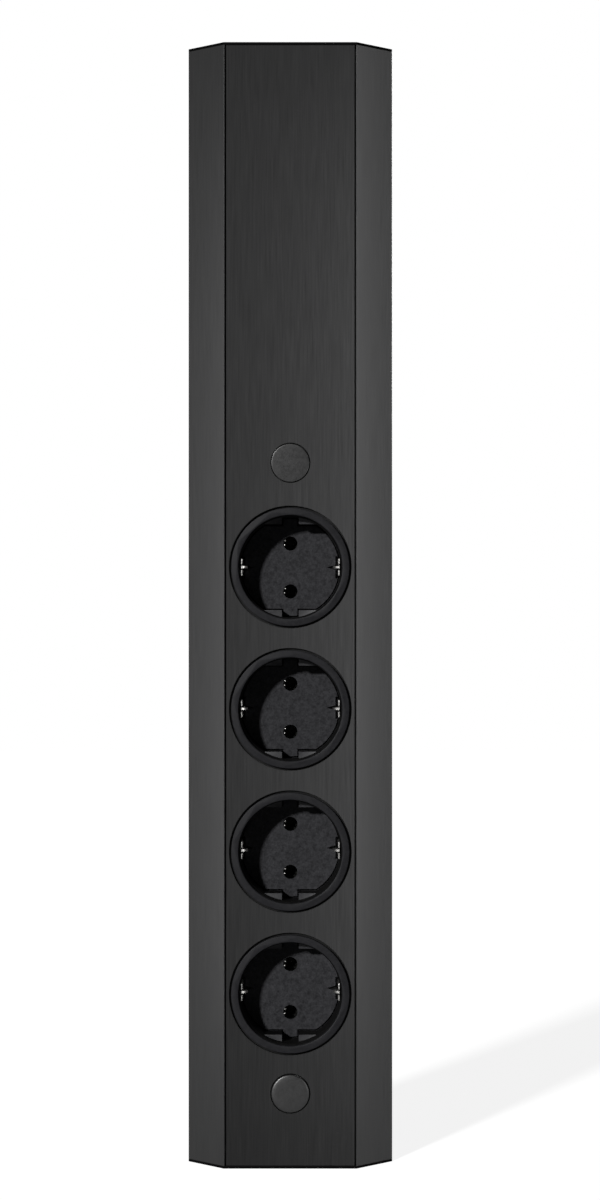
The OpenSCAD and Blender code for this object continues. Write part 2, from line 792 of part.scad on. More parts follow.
module retaining_nut() {
    color(dark_plastic) difference() {
        bar(nut_r, ledge_front, nut_back);
        bar(carrier_hole_r, ledge_front - overrun, nut_back + overrun);
        for (i = [1:nut_notches]) rotate([0, i * 360 / nut_notches, 0])
            block(
                [0, nut_back - notch_depth, -notch_w / 2],
                [nut_r + overrun, nut_back + overrun, notch_w / 2]
            );
    }
}

// Slit tube that grips a pin, a strap and a terminal; drawn as the line contact
module pin_contact() {
    color(brass) difference() {
        union() {
            bar(contact_r, contact_front, contact_back, 0, pin_z);
            block(
                [-terminal_x, strap_front, pin_z - strap_half],
                [-contact_r + contact_slit, strap_back, pin_z + strap_half]
            );
            block(
                [-terminal_x - terminal_half, strap_front, pin_z - terminal_h / 2],
                [-terminal_x + terminal_half, terminal_back, pin_z + terminal_h / 2]
            );
        }
        bar(contact_bore_r, contact_front - overrun, contact_back + overrun, 0, pin_z);
        block(
            [0, contact_front - overrun, pin_z - contact_slit / 2],
            [contact_r + overrun, contact_back + overrun, pin_z + contact_slit / 2]
        );
        terminal_holes(-terminal_x, pin_z);
    }
}
// Bore for the wire and the threaded hole behind it
module terminal_holes(x, z) {
    upright(core_hole_r, z - terminal_h, z + terminal_h, x, wire_depth);
    bar(terminal_screw_r + thread_gap, wire_depth, terminal_back + overrun, x, z);
}

module earth_yoke() {
    color(nickel) difference() {
        union() {
            block(
                [-yoke_half, yoke_front, -finger_h / 2],
                [yoke_half, yoke_back, finger_h / 2]
            );
            block(
                [-earth_x - terminal_half, yoke_front, -finger_h / 2],
                [-earth_x + terminal_half, terminal_back, finger_h / 2]
            );
        }
        terminal_holes(-earth_x, 0);
    }
}

// Right earth finger: knuckle at the root, leaf and a ridge for its nose
module earth_finger() {
    inner = finger_x - finger_t / 2;
    color(nickel) {
        upright(knuckle_r, -finger_h / 2, finger_h / 2, finger_x, hinge_depth);
        block([inner, finger_front, -finger_h / 2], [inner + finger_t, hinge_depth, finger_h / 2]);
        prism(
            [
                [inner + finger_t / 2, nose_depth - nose_len / 2],
                [nose_x + nose_h / 4, nose_depth - nose_h / 4], [nose_x, nose_depth],
                [nose_x + nose_h / 4, nose_depth + nose_h / 4],
                [inner + finger_t / 2, nose_depth + nose_len / 2]
            ],
            -nose_h / 2, nose_h / 2
        );
    }
}

// Insulating base with pockets for the contacts, open to the front, and two wells at the back
module socket_base() {
    outline = [
        [base_half, cup_back], [base_half, base_back - base_bevel],
        [base_half - base_bevel, base_back], [base_bevel - base_half, base_back],
        [-base_half, base_back - base_bevel], [-base_half, cup_back]
    ];
    color(dark_plastic) difference() {
        union() {
            prism(outline, -base_top, base_top);
            for (side = [-1, 1]) bar(well_r, pocket_back, well_back, 0, side * pin_z);
        }
        contact_pocket();
        rotate([0, 180, 0]) contact_pocket();
        block(
            [-base_half - overrun, cup_back - overrun, -slot_half],
            [base_half + overrun, yoke_back + pocket_gap, slot_half]
        );
        terminal_pocket(-earth_x, 0, finger_h / 2);
        for (x = [-terminal_x, -earth_x, terminal_x])
            upright(wire_hole_r, -base_top - overrun, base_top + overrun, x, wire_depth);
        for (side = [-1, 1]) {
            bar(post_r + pocket_gap, cup_back - overrun, post_back + pocket_gap, 0, side * post_z);
            bar(post_pilot_r + screw_gap, cup_back, base_back + overrun, 0, side * post_z);
            bar(
                post_screw_head_r + screw_gap, base_back - post_screw_head_h - pocket_gap,
                base_back + overrun, 0, side * post_z
            );
        }
    }
}
module contact_pocket() {
    bar(contact_r + pocket_gap, cup_back - overrun, contact_back + pocket_gap, 0, pin_z);
    block(
        [-terminal_x, cup_back - overrun, pin_z - strap_half - pocket_gap],
        [0, strap_back + pocket_gap, pin_z + strap_half + pocket_gap]
    );
    terminal_pocket(-terminal_x, pin_z, terminal_h / 2);
}
module terminal_pocket(x, z, half_h) {
    half_w = terminal_half + pocket_gap;
    block(
        [x - half_w, cup_back - overrun, z - half_h - pocket_gap],
        [x + half_w, pocket_back, z + half_h + pocket_gap]
    );
    bar(terminal_access_r, pocket_back - overrun, base_back + overrun, x, z);
}

module base_screws() {
    color(zinc) for (side = [-1, 1]) translate([0, 0, side * post_z]) mirror([0, 1, 0])
        translate([0, -base_back, 0])
        pan_screw(
            post_screw_r, post_screw_head_r, post_screw_head_h,
            0, post_screw_head_h + post_screw_len
        );
}

// Clamping screws of every socket's three terminals
module socket_terminal_screws() {
    head_back = pocket_back + terminal_head_h;
    places = [[-terminal_x, pin_z], [terminal_x, -pin_z], [-earth_x, 0]];
    color(zinc) for (i = [1:socket_count]) from_panel(socket_z(i)) for (place = places)
        translate([place[0], head_back, place[1]]) mirror([0, 1, 0])
        pan_screw(
            terminal_screw_r, terminal_head_r, terminal_head_h,
            0, head_back - wire_depth - core_r - thread_gap
        );
}

module terminal_block() {
    head_well_r = block_screw_head_r + pocket_gap;
    clamp_r = clamp_screw_head_r + pocket_gap;
    color(white_nylon) from_panel(block_z) difference() {
        block([-block_half, block_front, -block_h / 2], [block_half, block_back, block_h / 2]);
        for (x = [-terminal_x, 0, terminal_x]) {
            upright(sleeve_r + pocket_gap, -block_h, block_h, x, block_wire_depth);
            for (side = [-1, 1])
                bar(clamp_r, block_wire_depth, block_back + overrun, x, side * clamp_screw_z);
        }
        for (side = [-1, 1]) {
            bar(
                block_screw_r + screw_gap, block_front - overrun, block_back,
                side * block_screw_x, 0
            );
            bar(
                head_well_r, block_back - block_screw_head_h, block_back + overrun,
                side * block_screw_x, 0
            );
        }
    }
}

module terminal_sleeves() {
    half_len = sleeve_len / 2;
    color(brass) from_panel(block_z) for (x = [-terminal_x, 0, terminal_x]) difference() {
        upright(sleeve_r, -half_len, half_len, x, block_wire_depth);
        upright(sleeve_bore_r, -half_len - overrun, half_len + overrun, x, block_wire_depth);
        for (side = [-1, 1])
            bar(
                clamp_screw_r + thread_gap, block_wire_depth, block_wire_depth + sleeve_d,
                x, side * clamp_screw_z
            );
    }
}

module terminal_clamp_screws() {
    color(zinc) from_panel(block_z) for (x = [-terminal_x, 0, terminal_x]) for (side = [-1, 1])
        translate([x, clamp_head_depth, side * clamp_screw_z]) mirror([0, 1, 0])
        pan_screw(
            clamp_screw_r, clamp_screw_head_r, clamp_head_h,
            0, clamp_head_depth - block_wire_depth - core_r - thread_gap
        );
}

module terminal_block_screws() {
    color(zinc) from_panel(block_z) for (side = [-1, 1])
        translate([side * block_screw_x, block_back, 0]) mirror([0, 1, 0])
        pan_screw(
            block_screw_r, block_screw_head_r, block_screw_head_h,
            0, block_back - panel_t - seat_gap
        );
}

// Jumpers from each socket's terminal up to the next, with bare ends in the terminals
module jumpers(x, z) {
    strip = terminal_h / 2 + pocket_gap;
    for (i = [2:socket_count]) from_panel(socket_z(i) + z) {
        upright(wire_r, strip, socket_pitch - strip, x, wire_depth);
        upright(core_r, slip, socket_pitch - slip, x, wire_depth);
    }
}
// The run from the top socket forward into the terminal block
module block_feed(x, z, block_x) {
    start = socket_z(1) + z;
    strip = terminal_h / 2 + pocket_gap;
    bend_low = block_low - (wire_depth - block_wire_depth) - wire_d;
    bend_high = block_low - wire_d;
    from_panel() {
        upright(core_r, start + slip, start + terminal_h, x, wire_depth);
        wire_run(
            [
                [x, wire_depth, start + strip], [x, wire_depth, bend_low],
                [block_x, block_wire_depth, bend_high], [block_x, block_wire_depth, block_low - slip]
            ],
            wire_r
        );
        upright(core_r, bend_high, block_z - slip, block_x, block_wire_depth);
    }
}
module line_wires() {
    color(brown_wire) {
        jumpers(-terminal_x, pin_z);
        block_feed(-terminal_x, pin_z, -terminal_x);
    }
}
module neutral_wires() {
    color(blue_wire) {
        jumpers(terminal_x, -pin_z);
        block_feed(terminal_x, -pin_z, terminal_x);
    }
}
module earth_wires() {
    color(green_wire) {
        jumpers(-earth_x, 0);
        block_feed(-earth_x, 0, 0);
    }
}

// Bonding lead from the earth pole up to the tongue of a ring tag, which a screw holds to the spine
module earth_bond_lead() {
    tongue_z = bond_z - tag_r - wire_d * 2;
    lead_depth = tag_front - wire_r - seat_gap;
    rise = wire_d * 2;
    color(green_wire) from_panel() {
        upright(core_r, block_z + slip, block_high + rise / 2, 0, block_wire_depth);
        wire_run(
            [
                [0, block_wire_depth, block_high + slip], [0, block_wire_depth, tongue_z - rise],
                [0, lead_depth, tongue_z - rise], [0, lead_depth, tongue_z + wire_d]
            ],
            wire_r
        );
        difference() {
            union() {
                bar(tag_r, tag_front, spine_inside, 0, bond_z);
                block(
                    [-wire_d, tag_front, tongue_z],
                    [wire_d, spine_inside, bond_z]
                );
            }
            bar(fixing_r + screw_gap, tag_front - overrun, spine_inside + overrun, 0, bond_z);
        }
    }
}
module earth_bond_screw() {
    color(zinc) from_panel(bond_z)
        pan_screw(
            fixing_r - thread_gap, fixing_head_r, fixing_head_h,
            bond_screw_depth, spine_depth - seat_gap
        );
}

function drawn(name) = node == "all" || node == name;
function in_socket(i, piece) = drawn(str("socket_", i, "_", piece));

if (drawn("body_profile")) body_profile();
if (drawn("front_panel")) front_panel();
if (drawn("socket_carrier")) socket_carrier();
if (drawn("top_end_cap")) top_end_cap();
if (drawn("bottom_end_cap")) bottom_end_cap();
if (drawn("top_cap_screws")) top_cap_screws();
if (drawn("bottom_cap_screws")) bottom_cap_screws();
if (drawn("upper_screw_cover")) upper_screw_cover();
if (drawn("lower_screw_cover")) lower_screw_cover();
if (drawn("fixing_screws")) fixing_screws();
if (drawn("clamp_bars")) clamp_bars();
if (drawn("press_nuts")) press_nuts();
if (drawn("cable_grommet")) cable_grommet();
if (drawn("terminal_block")) terminal_block();
if (drawn("terminal_sleeves")) terminal_sleeves();
if (drawn("terminal_clamp_screws")) terminal_clamp_screws();
if (drawn("terminal_block_screws")) terminal_block_screws();
if (drawn("line_wires")) line_wires();
if (drawn("neutral_wires")) neutral_wires();
if (drawn("earth_wires")) earth_wires();
if (drawn("earth_bond_lead")) earth_bond_lead();
if (drawn("earth_bond_screw")) earth_bond_screw();
if (drawn("socket_terminal_screws")) socket_terminal_screws();
for (i = [1:socket_count]) from_panel(socket_z(i)) {
    if (in_socket(i, "cup")) socket_cup();
    if (in_socket(i, "retaining_nut")) retaining_nut();
    if (in_socket(i, "line_contact")) pin_contact();
    if (in_socket(i, "neutral_contact")) rotate([0, 180, 0]) pin_contact();
    if (in_socket(i, "earth_yoke")) earth_yoke();
    if (in_socket(i, "earth_finger_left")) mirror([1, 0, 0]) earth_finger();
    if (in_socket(i, "earth_finger_right")) earth_finger();
    if (in_socket(i, "base")) socket_base();
    if (in_socket(i, "base_screws")) base_screws();
}
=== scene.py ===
import json
import math

import bmesh
import bpy
import numpy as np
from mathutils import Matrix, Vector

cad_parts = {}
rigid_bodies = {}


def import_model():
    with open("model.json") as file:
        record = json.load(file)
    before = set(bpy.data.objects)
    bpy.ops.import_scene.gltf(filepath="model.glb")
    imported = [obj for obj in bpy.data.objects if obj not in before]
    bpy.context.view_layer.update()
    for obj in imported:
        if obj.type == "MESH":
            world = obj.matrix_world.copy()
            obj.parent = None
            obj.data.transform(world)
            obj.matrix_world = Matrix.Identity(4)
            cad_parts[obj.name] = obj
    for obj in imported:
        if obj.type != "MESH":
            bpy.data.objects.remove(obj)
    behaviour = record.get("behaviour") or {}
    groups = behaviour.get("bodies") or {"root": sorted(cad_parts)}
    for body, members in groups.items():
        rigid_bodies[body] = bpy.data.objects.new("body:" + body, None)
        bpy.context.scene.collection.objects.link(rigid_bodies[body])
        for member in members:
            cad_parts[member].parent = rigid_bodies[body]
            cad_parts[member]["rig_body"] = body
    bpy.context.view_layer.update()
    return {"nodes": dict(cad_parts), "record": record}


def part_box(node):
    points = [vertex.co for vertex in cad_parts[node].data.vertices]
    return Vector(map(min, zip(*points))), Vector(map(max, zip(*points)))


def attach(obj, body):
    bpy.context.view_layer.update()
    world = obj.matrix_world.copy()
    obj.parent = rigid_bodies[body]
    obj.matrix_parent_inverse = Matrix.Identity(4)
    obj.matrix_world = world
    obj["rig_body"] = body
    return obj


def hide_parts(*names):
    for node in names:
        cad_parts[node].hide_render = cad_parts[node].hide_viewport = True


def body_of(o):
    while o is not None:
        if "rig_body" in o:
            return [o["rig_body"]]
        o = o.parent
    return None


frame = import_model()
print("frame loaded:", len(frame["nodes"]), "nodes")

mm = 0.001
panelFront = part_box("front_panel")[0].y
pinHeight = 9.504 * mm   # of a pin hole above or below its socket's middle
socketNumbers = (1, 2, 3, 4)
coverNames = ("upper_screw_cover", "lower_screw_cover")
slotOf = {part["node"]: part["material_slot"] for part in frame["record"]["subparts"]}


# Adds a node, sets its properties, and sets or links its inputs.
def place(tree, kind, inputs=None, **settings):
    node = tree.nodes.new(kind)
    for key, value in settings.items():
        setattr(node, key, value)
    for key, value in (inputs or {}).items():
        if isinstance(value, bpy.types.NodeSocket):
            tree.links.new(value, node.inputs[key])
        else:
            node.inputs[key].default_value = value
    return node


# Product, sum or larger one of two values.
def calc(tree, operation, first, second):
    return place(tree, "ShaderNodeMath", {0: first, 1: second}, operation=operation).outputs[0]


# Value moved from one pair of limits to another, and held between them.
def ranged(tree, value, limits, target=(0.0, 1.0), **settings):
    return place(tree, "ShaderNodeMapRange", {
        "Value": value, "From Min": limits[0], "From Max": limits[1],
        "To Min": target[0], "To Max": target[1],
    }, **settings).outputs[0]


# Angles of a full turn in equal steps, without the last, which is the first again.
def fullTurn(count):
    return np.linspace(0, 2 * np.pi, count + 1)[:-1]


# Quads of a grid: every point joins the next row and the next column; a closed way runs round.
def gridQuads(rows, columns, closedRows=False, closedColumns=False):
    i = np.arange(rows if closedRows else rows - 1)[:, None]
    j = np.arange(columns if closedColumns else columns - 1)[None, :]
    below, beside = (i + 1) % rows, (j + 1) % columns
    corners = [i * columns + j, i * columns + beside, below * columns + beside, below * columns + j]
    return np.stack([corner.ravel() for corner in corners], 1)


cameraPlan = {
    "distance": 1.08,       # from the panel's face
    "right": 0.0038,        # the tower stands a little left of the picture's middle
    "height": 0.2221,
    "lens": 82.96,
}


# The camera is level, square to the panel, and as far from it as the plan says.
def buildCamera():
    data = bpy.data.cameras.new("photoCamera")
    data.lens = cameraPlan["lens"]
    camera = bpy.data.objects.new("photoCamera", data)
    camera.location = (cameraPlan["right"], panelFront - cameraPlan["distance"], cameraPlan["height"])
    camera.rotation_euler = (math.pi / 2, 0, 0)
    bpy.context.scene.collection.objects.link(camera)
    bpy.context.scene.camera = camera


keyPlan = {"from": (-0.49, -1.0, 0.354), "strength": 3.0, "angle": 4.0}
lampTarget = (0, 0, 0.22)   # every lamp but the sun looks at this point
atRight = {"at": (0.32, -0.14, 0.23), "size": (0.06, 0.58)}
atLeft = {"at": (-0.24, -0.10, 0.215), "size": (0.04, 0.40)}
# a strip is a reflector for one kind of surface: it lights only the finishes that it names
sideLights = {
    "nearRight": {
        "at": (0.115, -0.13, 0.222), "size": (0.02, 0.41), "energy": 2.15, "finishes": ("black_brushed",),
    },
    "rightStrip": {**atRight, "energy": 2.95, "finishes": ("black_anodised",)},
    "leftStrip": {**atLeft, "energy": 1.03, "finishes": ("black_anodised",)},
    "clipFront": {
        "at": (0.25, -0.90, 0.34), "size": (0.25, 0.25), "energy": 1.2, "finishes": ("spring_steel",),
    },
    "clipRight": {**atRight, "energy": 0.6, "finishes": ("spring_steel",)},
    "clipLeft": {**atLeft, "energy": 0.14, "finishes": ("spring_steel",)},
    "coverGlint": {
        "at": (0.50, -0.70, 0.16), "size": (0.30, 0.30), "energy": 1.2, "finishes": ("cover_plastic",),
    },
    "backSoft": {
        "at": (0.35, 0.75, 0.60), "size": (0.50, 0.50), "energy": 9.0,
        "finishes": tuple(sorted(set(slotOf.values()))),
    },
}
stripTargets = {name: bpy.data.collections.new(name + "Targets") for name in sideLights}


# Rotation that turns a lamp's -Z from its place to the target.
def aimedAt(start, target):
    return (Vector(target) - Vector(start)).to_track_quat("-Z", "Y").to_euler()


# A sun from the front, and one rectangle for each entry of the plan, turned to the tower's middle.
def buildLamps():
    data = bpy.data.lights.new("keySun", "SUN")
    data.energy, data.angle = keyPlan["strength"], math.radians(keyPlan["angle"])
    sun = bpy.data.objects.new("keySun", data)
    sun.rotation_euler = aimedAt(keyPlan["from"], (0, 0, 0))
    bpy.context.scene.collection.objects.link(sun)
    for name, plan in sideLights.items():
        data = bpy.data.lights.new(name, "AREA")
        data.shape = "RECTANGLE"
        data.size, data.size_y = plan["size"]
        data.energy = plan["energy"]
        lamp = bpy.data.objects.new(name, data)
        lamp.location = plan["at"]
        lamp.rotation_euler = aimedAt(plan["at"], lampTarget)
        lamp.visible_camera = False
        lamp.light_linking.receiver_collection = stripTargets[name]
        bpy.context.scene.collection.objects.link(lamp)


# Puts an object among the targets of the strips that name its finish.
def reachByStrips(item, finish):
    for name, plan in sideLights.items():
        if finish in plan["finishes"]:
            stripTargets[name].objects.link(item)


# strengths of the light on matt surfaces and in reflections, and the directions between which they blend
worldPlan = {
    "diffuse": 0.012, "glossFront": 0.03, "glossSide": 0.35, "glossHigh": 0.04,
    "frontToSide": (-0.95, -0.35), "sideToHigh": (0.0, 0.45),
}


# White to the camera. A reflection finds the front's strength, which turns to the side's with the
# direction's Y, and the side's turns to the high one with its Z. Matt surfaces get one low strength.
def buildWorld():
    world = bpy.data.worlds.new("studio")
    bpy.context.scene.world = world
    world.use_nodes = True
    tree = world.node_tree
    tree.nodes.clear()
    rays = place(tree, "ShaderNodeLightPath")
    way = place(tree, "ShaderNodeTexCoord")
    parts = place(tree, "ShaderNodeSeparateXYZ", {0: way.outputs["Generated"]})
    sideOrHigh = ranged(
        tree, parts.outputs["Z"], worldPlan["sideToHigh"], (worldPlan["glossSide"], worldPlan["glossHigh"]),
        interpolation_type="SMOOTHSTEP",
    )
    gloss = ranged(
        tree, parts.outputs["Y"], worldPlan["frontToSide"], (worldPlan["glossFront"], sideOrHigh),
        interpolation_type="SMOOTHSTEP",
    )
    soft, seen, mirrored = (
        place(tree, "ShaderNodeBackground", {"Color": (1, 1, 1, 1), "Strength": strength})
        for strength in (worldPlan["diffuse"], 1.0, gloss)
    )
    through = calc(tree, "MAXIMUM", rays.outputs["Is Camera Ray"], rays.outputs["Is Transmission Ray"])
    first = place(tree, "ShaderNodeMixShader", {
        0: rays.outputs["Is Glossy Ray"], 1: soft.outputs[0], 2: mirrored.outputs[0],
    })
    second = place(tree, "ShaderNodeMixShader", {0: through, 1: first.outputs[0], 2: seen.outputs[0]})
    place(tree, "ShaderNodeOutputWorld", {"Surface": second.outputs[0]})


floorPlan = {
    "radius": 3.0, "rings": 4, "spokes": 64,
    "paint": (0.45, 0.45, 0.45, 1.0), "ownLight": 0.88, "glossShare": 0.35,
}


# Disc of rings and spokes: radius times the sine and cosine of the angle.
def buildFloor():
    count, turn = floorPlan["spokes"], fullTurn(floorPlan["spokes"])
    radii = np.linspace(0, floorPlan["radius"], floorPlan["rings"] + 1)[1:]
    x, y = np.outer(radii, np.cos(turn)), np.outer(radii, np.sin(turn))
    points = np.concatenate([[[0, 0, 0]], np.stack([x, y, 0 * x], -1).reshape(-1, 3)])
    spoke = np.arange(count)
    middle = np.stack([0 * spoke, 1 + spoke, 1 + (spoke + 1) % count], 1)
    outer = 1 + gridQuads(len(radii), count, closedColumns=True)[:, ::-1]
    mesh = bpy.data.meshes.new("studioFloor")
    mesh.from_pydata(points.tolist(), [], middle.tolist() + outer.tolist())
    floor = bpy.data.objects.new("studioFloor", mesh)
    bpy.context.scene.collection.objects.link(floor)
    material = bpy.data.materials.new("studioFloor")
    material.use_nodes = True
    tree = material.node_tree
    tree.nodes.clear()
    rays = place(tree, "ShaderNodeLightPath")
    dimmed = calc(tree, "MULTIPLY", rays.outputs["Is Glossy Ray"], floorPlan["glossShare"])
    seen = calc(tree, "MAXIMUM", rays.outputs["Is Camera Ray"], dimmed)
    seen = calc(tree, "MAXIMUM", seen, rays.outputs["Is Transmission Ray"])
    glow = calc(tree, "MULTIPLY", seen, floorPlan["ownLight"])
    own = place(tree, "ShaderNodeEmission", {"Color": (1, 1, 1, 1), "Strength": glow})
    paint = place(tree, "ShaderNodeBsdfDiffuse", {"Color": floorPlan["paint"]})
    both = place(tree, "ShaderNodeAddShader", {0: paint.outputs[0], 1: own.outputs[0]})
    place(tree, "ShaderNodeOutputMaterial", {"Surface": both.outputs[0]})
    mesh.materials.append(material)


bpy.context.scene.view_settings.view_transform = "Standard"
buildCamera()
buildLamps()
buildWorld()
buildFloor()
print("studio ready:", len(sideLights), "strips")

# detail and roughness of a noise stand together in the plans below
evenLimits = (0.3, 0.7)   # most of a noise lies between these
grainPlan = {
    "across": 2800.0, "along": 55.0, "fine": (4.0, 0.62),
    "broadShare": 0.12, "broadAcross": 0.60, "broadAlong": 0.3, "broad": (3.0, 0.5),
}
skinPlan = {
    "pimples": 1500.0, "pimpleNoise": (3.0, 0.6), "cloud": 650.0, "cloudNoise": (4.0, 0.55),
    "pimpleShare": 0.45,
}
marksPlan = {
    "density": 0.5, "patch": 30.0, "patchNoise": (2.0, 0.5), "lines": 90.0, "warp": 26.0,
    "warpDetail": 2.0, "warpScale": 1.2, "thin": (0.985, 1.0), "kept": (0.52, 0.66),
    "paler": (1.6, 0.02),    # a scratch is the light colour times the first, plus the second
}
dustPlan = {
    "amount": 0.1, "facingUp": (0.35, 1.0), "specks": 900.0, "speckNoise": (5.0, 0.7),
    "broken": (0.42, 0.7), "colour": (0.22, 0.21, 0.20),
}
stripePlan = {"scale": 120.0, "edge": (0.45, 0.55)}
bumpDepth = 0.1 * mm


# Node group with named float inputs and outputs; returns its tree, input node and output node.
def newGroup(name, inputs, outputs):
    tree = bpy.data.node_groups.new(name, "ShaderNodeTree")
    for label, value in inputs.items():
        socket = tree.interface.new_socket(label, in_out="INPUT", socket_type="NodeSocketFloat")
        socket.default_value = value
    for label in outputs:
        tree.interface.new_socket(label, in_out="OUTPUT", socket_type="NodeSocketFloat")
    return tree, place(tree, "NodeGroupInput"), place(tree, "NodeGroupOutput")


# Object coordinates times one scale across and another along the tower.
def stretchedPoint(tree, across, along):
    where = place(tree, "ShaderNodeTexCoord")
    scales = place(tree, "ShaderNodeCombineXYZ", {0: across, 1: across, 2: along})
    return place(tree, "ShaderNodeVectorMath", {
        0: where.outputs["Object"], 1: scales.outputs[0],
    }, operation="MULTIPLY").outputs[0]


# Noise at a point times a scale, with a pair of detail and roughness.
def noise(tree, point, scale, grain):
    return place(tree, "ShaderNodeTexNoise", {
        "Vector": point, "Scale": scale, "Detail": grain[0], "Roughness": grain[1],
    }).outputs["Fac"]


# Value between two values or sockets, by a share.
def mixedValue(tree, share, first, second):
    return place(tree, "ShaderNodeMix", {"Factor": share, 2: first, 3: second}, data_type="FLOAT").outputs[0]


# Colour between two colours or sockets, by a share.
def mixedColour(tree, share, first, second):
    values = {"Factor": share}
    for index, colour in ((6, first), (7, second)):
        values[index] = colour if isinstance(colour, bpy.types.NodeSocket) else (*colour, 1.0)
    return place(tree, "ShaderNodeMix", values, data_type="RGBA").outputs[2]


# Fine streaks along the tower, laid over broader and longer ones: each is a noise on a stretched point.
def buildBrushGrain():
    tree, given, out = newGroup("brushGrain", {
        "Across": grainPlan["across"], "Along": grainPlan["along"], "Broad Share": grainPlan["broadShare"],
    }, ["Grain", "Height"])
    across, along = given.outputs["Across"], given.outputs["Along"]
    fine = noise(tree, stretchedPoint(tree, across, along), 1.0, grainPlan["fine"])
    broadAcross = calc(tree, "MULTIPLY", across, grainPlan["broadAcross"])
    broadAlong = calc(tree, "MULTIPLY", along, grainPlan["broadAlong"])
    broad = noise(tree, stretchedPoint(tree, broadAcross, broadAlong), 1.0, grainPlan["broad"])
    grain = mixedValue(
        tree, given.outputs["Broad Share"], ranged(tree, fine, evenLimits), ranged(tree, broad, evenLimits),
    )
    tree.links.new(grain, out.inputs["Grain"])
    tree.links.new(fine, out.inputs["Height"])
    return tree


# Spark-eroded pimples with a slow cloudiness in the plastic's tone: a share of two noises.
def buildMouldedSkin():
    tree, given, out = newGroup("mouldedSkin", {
        "Pimples": skinPlan["pimples"], "Cloud": skinPlan["cloud"],
    }, ["Tone", "Height"])
    where = place(tree, "ShaderNodeTexCoord").outputs["Object"]
    pimples = noise(tree, where, given.outputs["Pimples"], skinPlan["pimpleNoise"])
    cloud = noise(tree, where, given.outputs["Cloud"], skinPlan["cloudNoise"])
    tone = mixedValue(
        tree, skinPlan["pimpleShare"], ranged(tree, cloud, evenLimits), ranged(tree, pimples, evenLimits),
    )
    tree.links.new(tone, out.inputs["Tone"])
    tree.links.new(pimples, out.inputs["Height"])
    return tree


# Sparse hairline scratches: thin bright bands of a warped wave, kept only in patches of a noise.
def buildHandlingMarks():
    tree, given, out = newGroup("handlingMarks", {
        "Density": marksPlan["density"], "Patch": marksPlan["patch"],
    }, ["Mask"])
    where = place(tree, "ShaderNodeTexCoord").outputs["Object"]
    lines = place(tree, "ShaderNodeTexWave", {
        "Vector": where, "Scale": marksPlan["lines"], "Distortion": marksPlan["warp"],
        "Detail": marksPlan["warpDetail"], "Detail Scale": marksPlan["warpScale"],
    }, bands_direction="DIAGONAL")
    thin = ranged(tree, lines.outputs["Fac"], marksPlan["thin"])
    patch = noise(tree, where, given.outputs["Patch"], marksPlan["patchNoise"])
    kept = ranged(tree, patch, marksPlan["kept"], (0.0, given.outputs["Density"]))
    tree.links.new(calc(tree, "MULTIPLY", thin, kept), out.inputs["Mask"])
    return tree


# Faint dust that settles where the surface looks up, broken by a fine noise.
def buildTopDust():
    tree, given, out = newGroup("topDust", {"Amount": dustPlan["amount"]}, ["Mask"])
    where = place(tree, "ShaderNodeTexCoord")
    way = place(tree, "ShaderNodeSeparateXYZ", {0: where.outputs["Normal"]})
    upward = ranged(tree, way.outputs["Z"], dustPlan["facingUp"])
    specks = noise(tree, where.outputs["Object"], dustPlan["specks"], dustPlan["speckNoise"])
    broken = calc(tree, "MULTIPLY", upward, ranged(tree, specks, dustPlan["broken"]))
    tree.links.new(calc(tree, "MULTIPLY", broken, given.outputs["Amount"]), out.inputs["Mask"])
    return tree


groups = {
    "brushGrain": buildBrushGrain(),
    "mouldedSkin": buildMouldedSkin(),
    "handlingMarks": buildHandlingMarks(),
    "topDust": buildTopDust(),
}

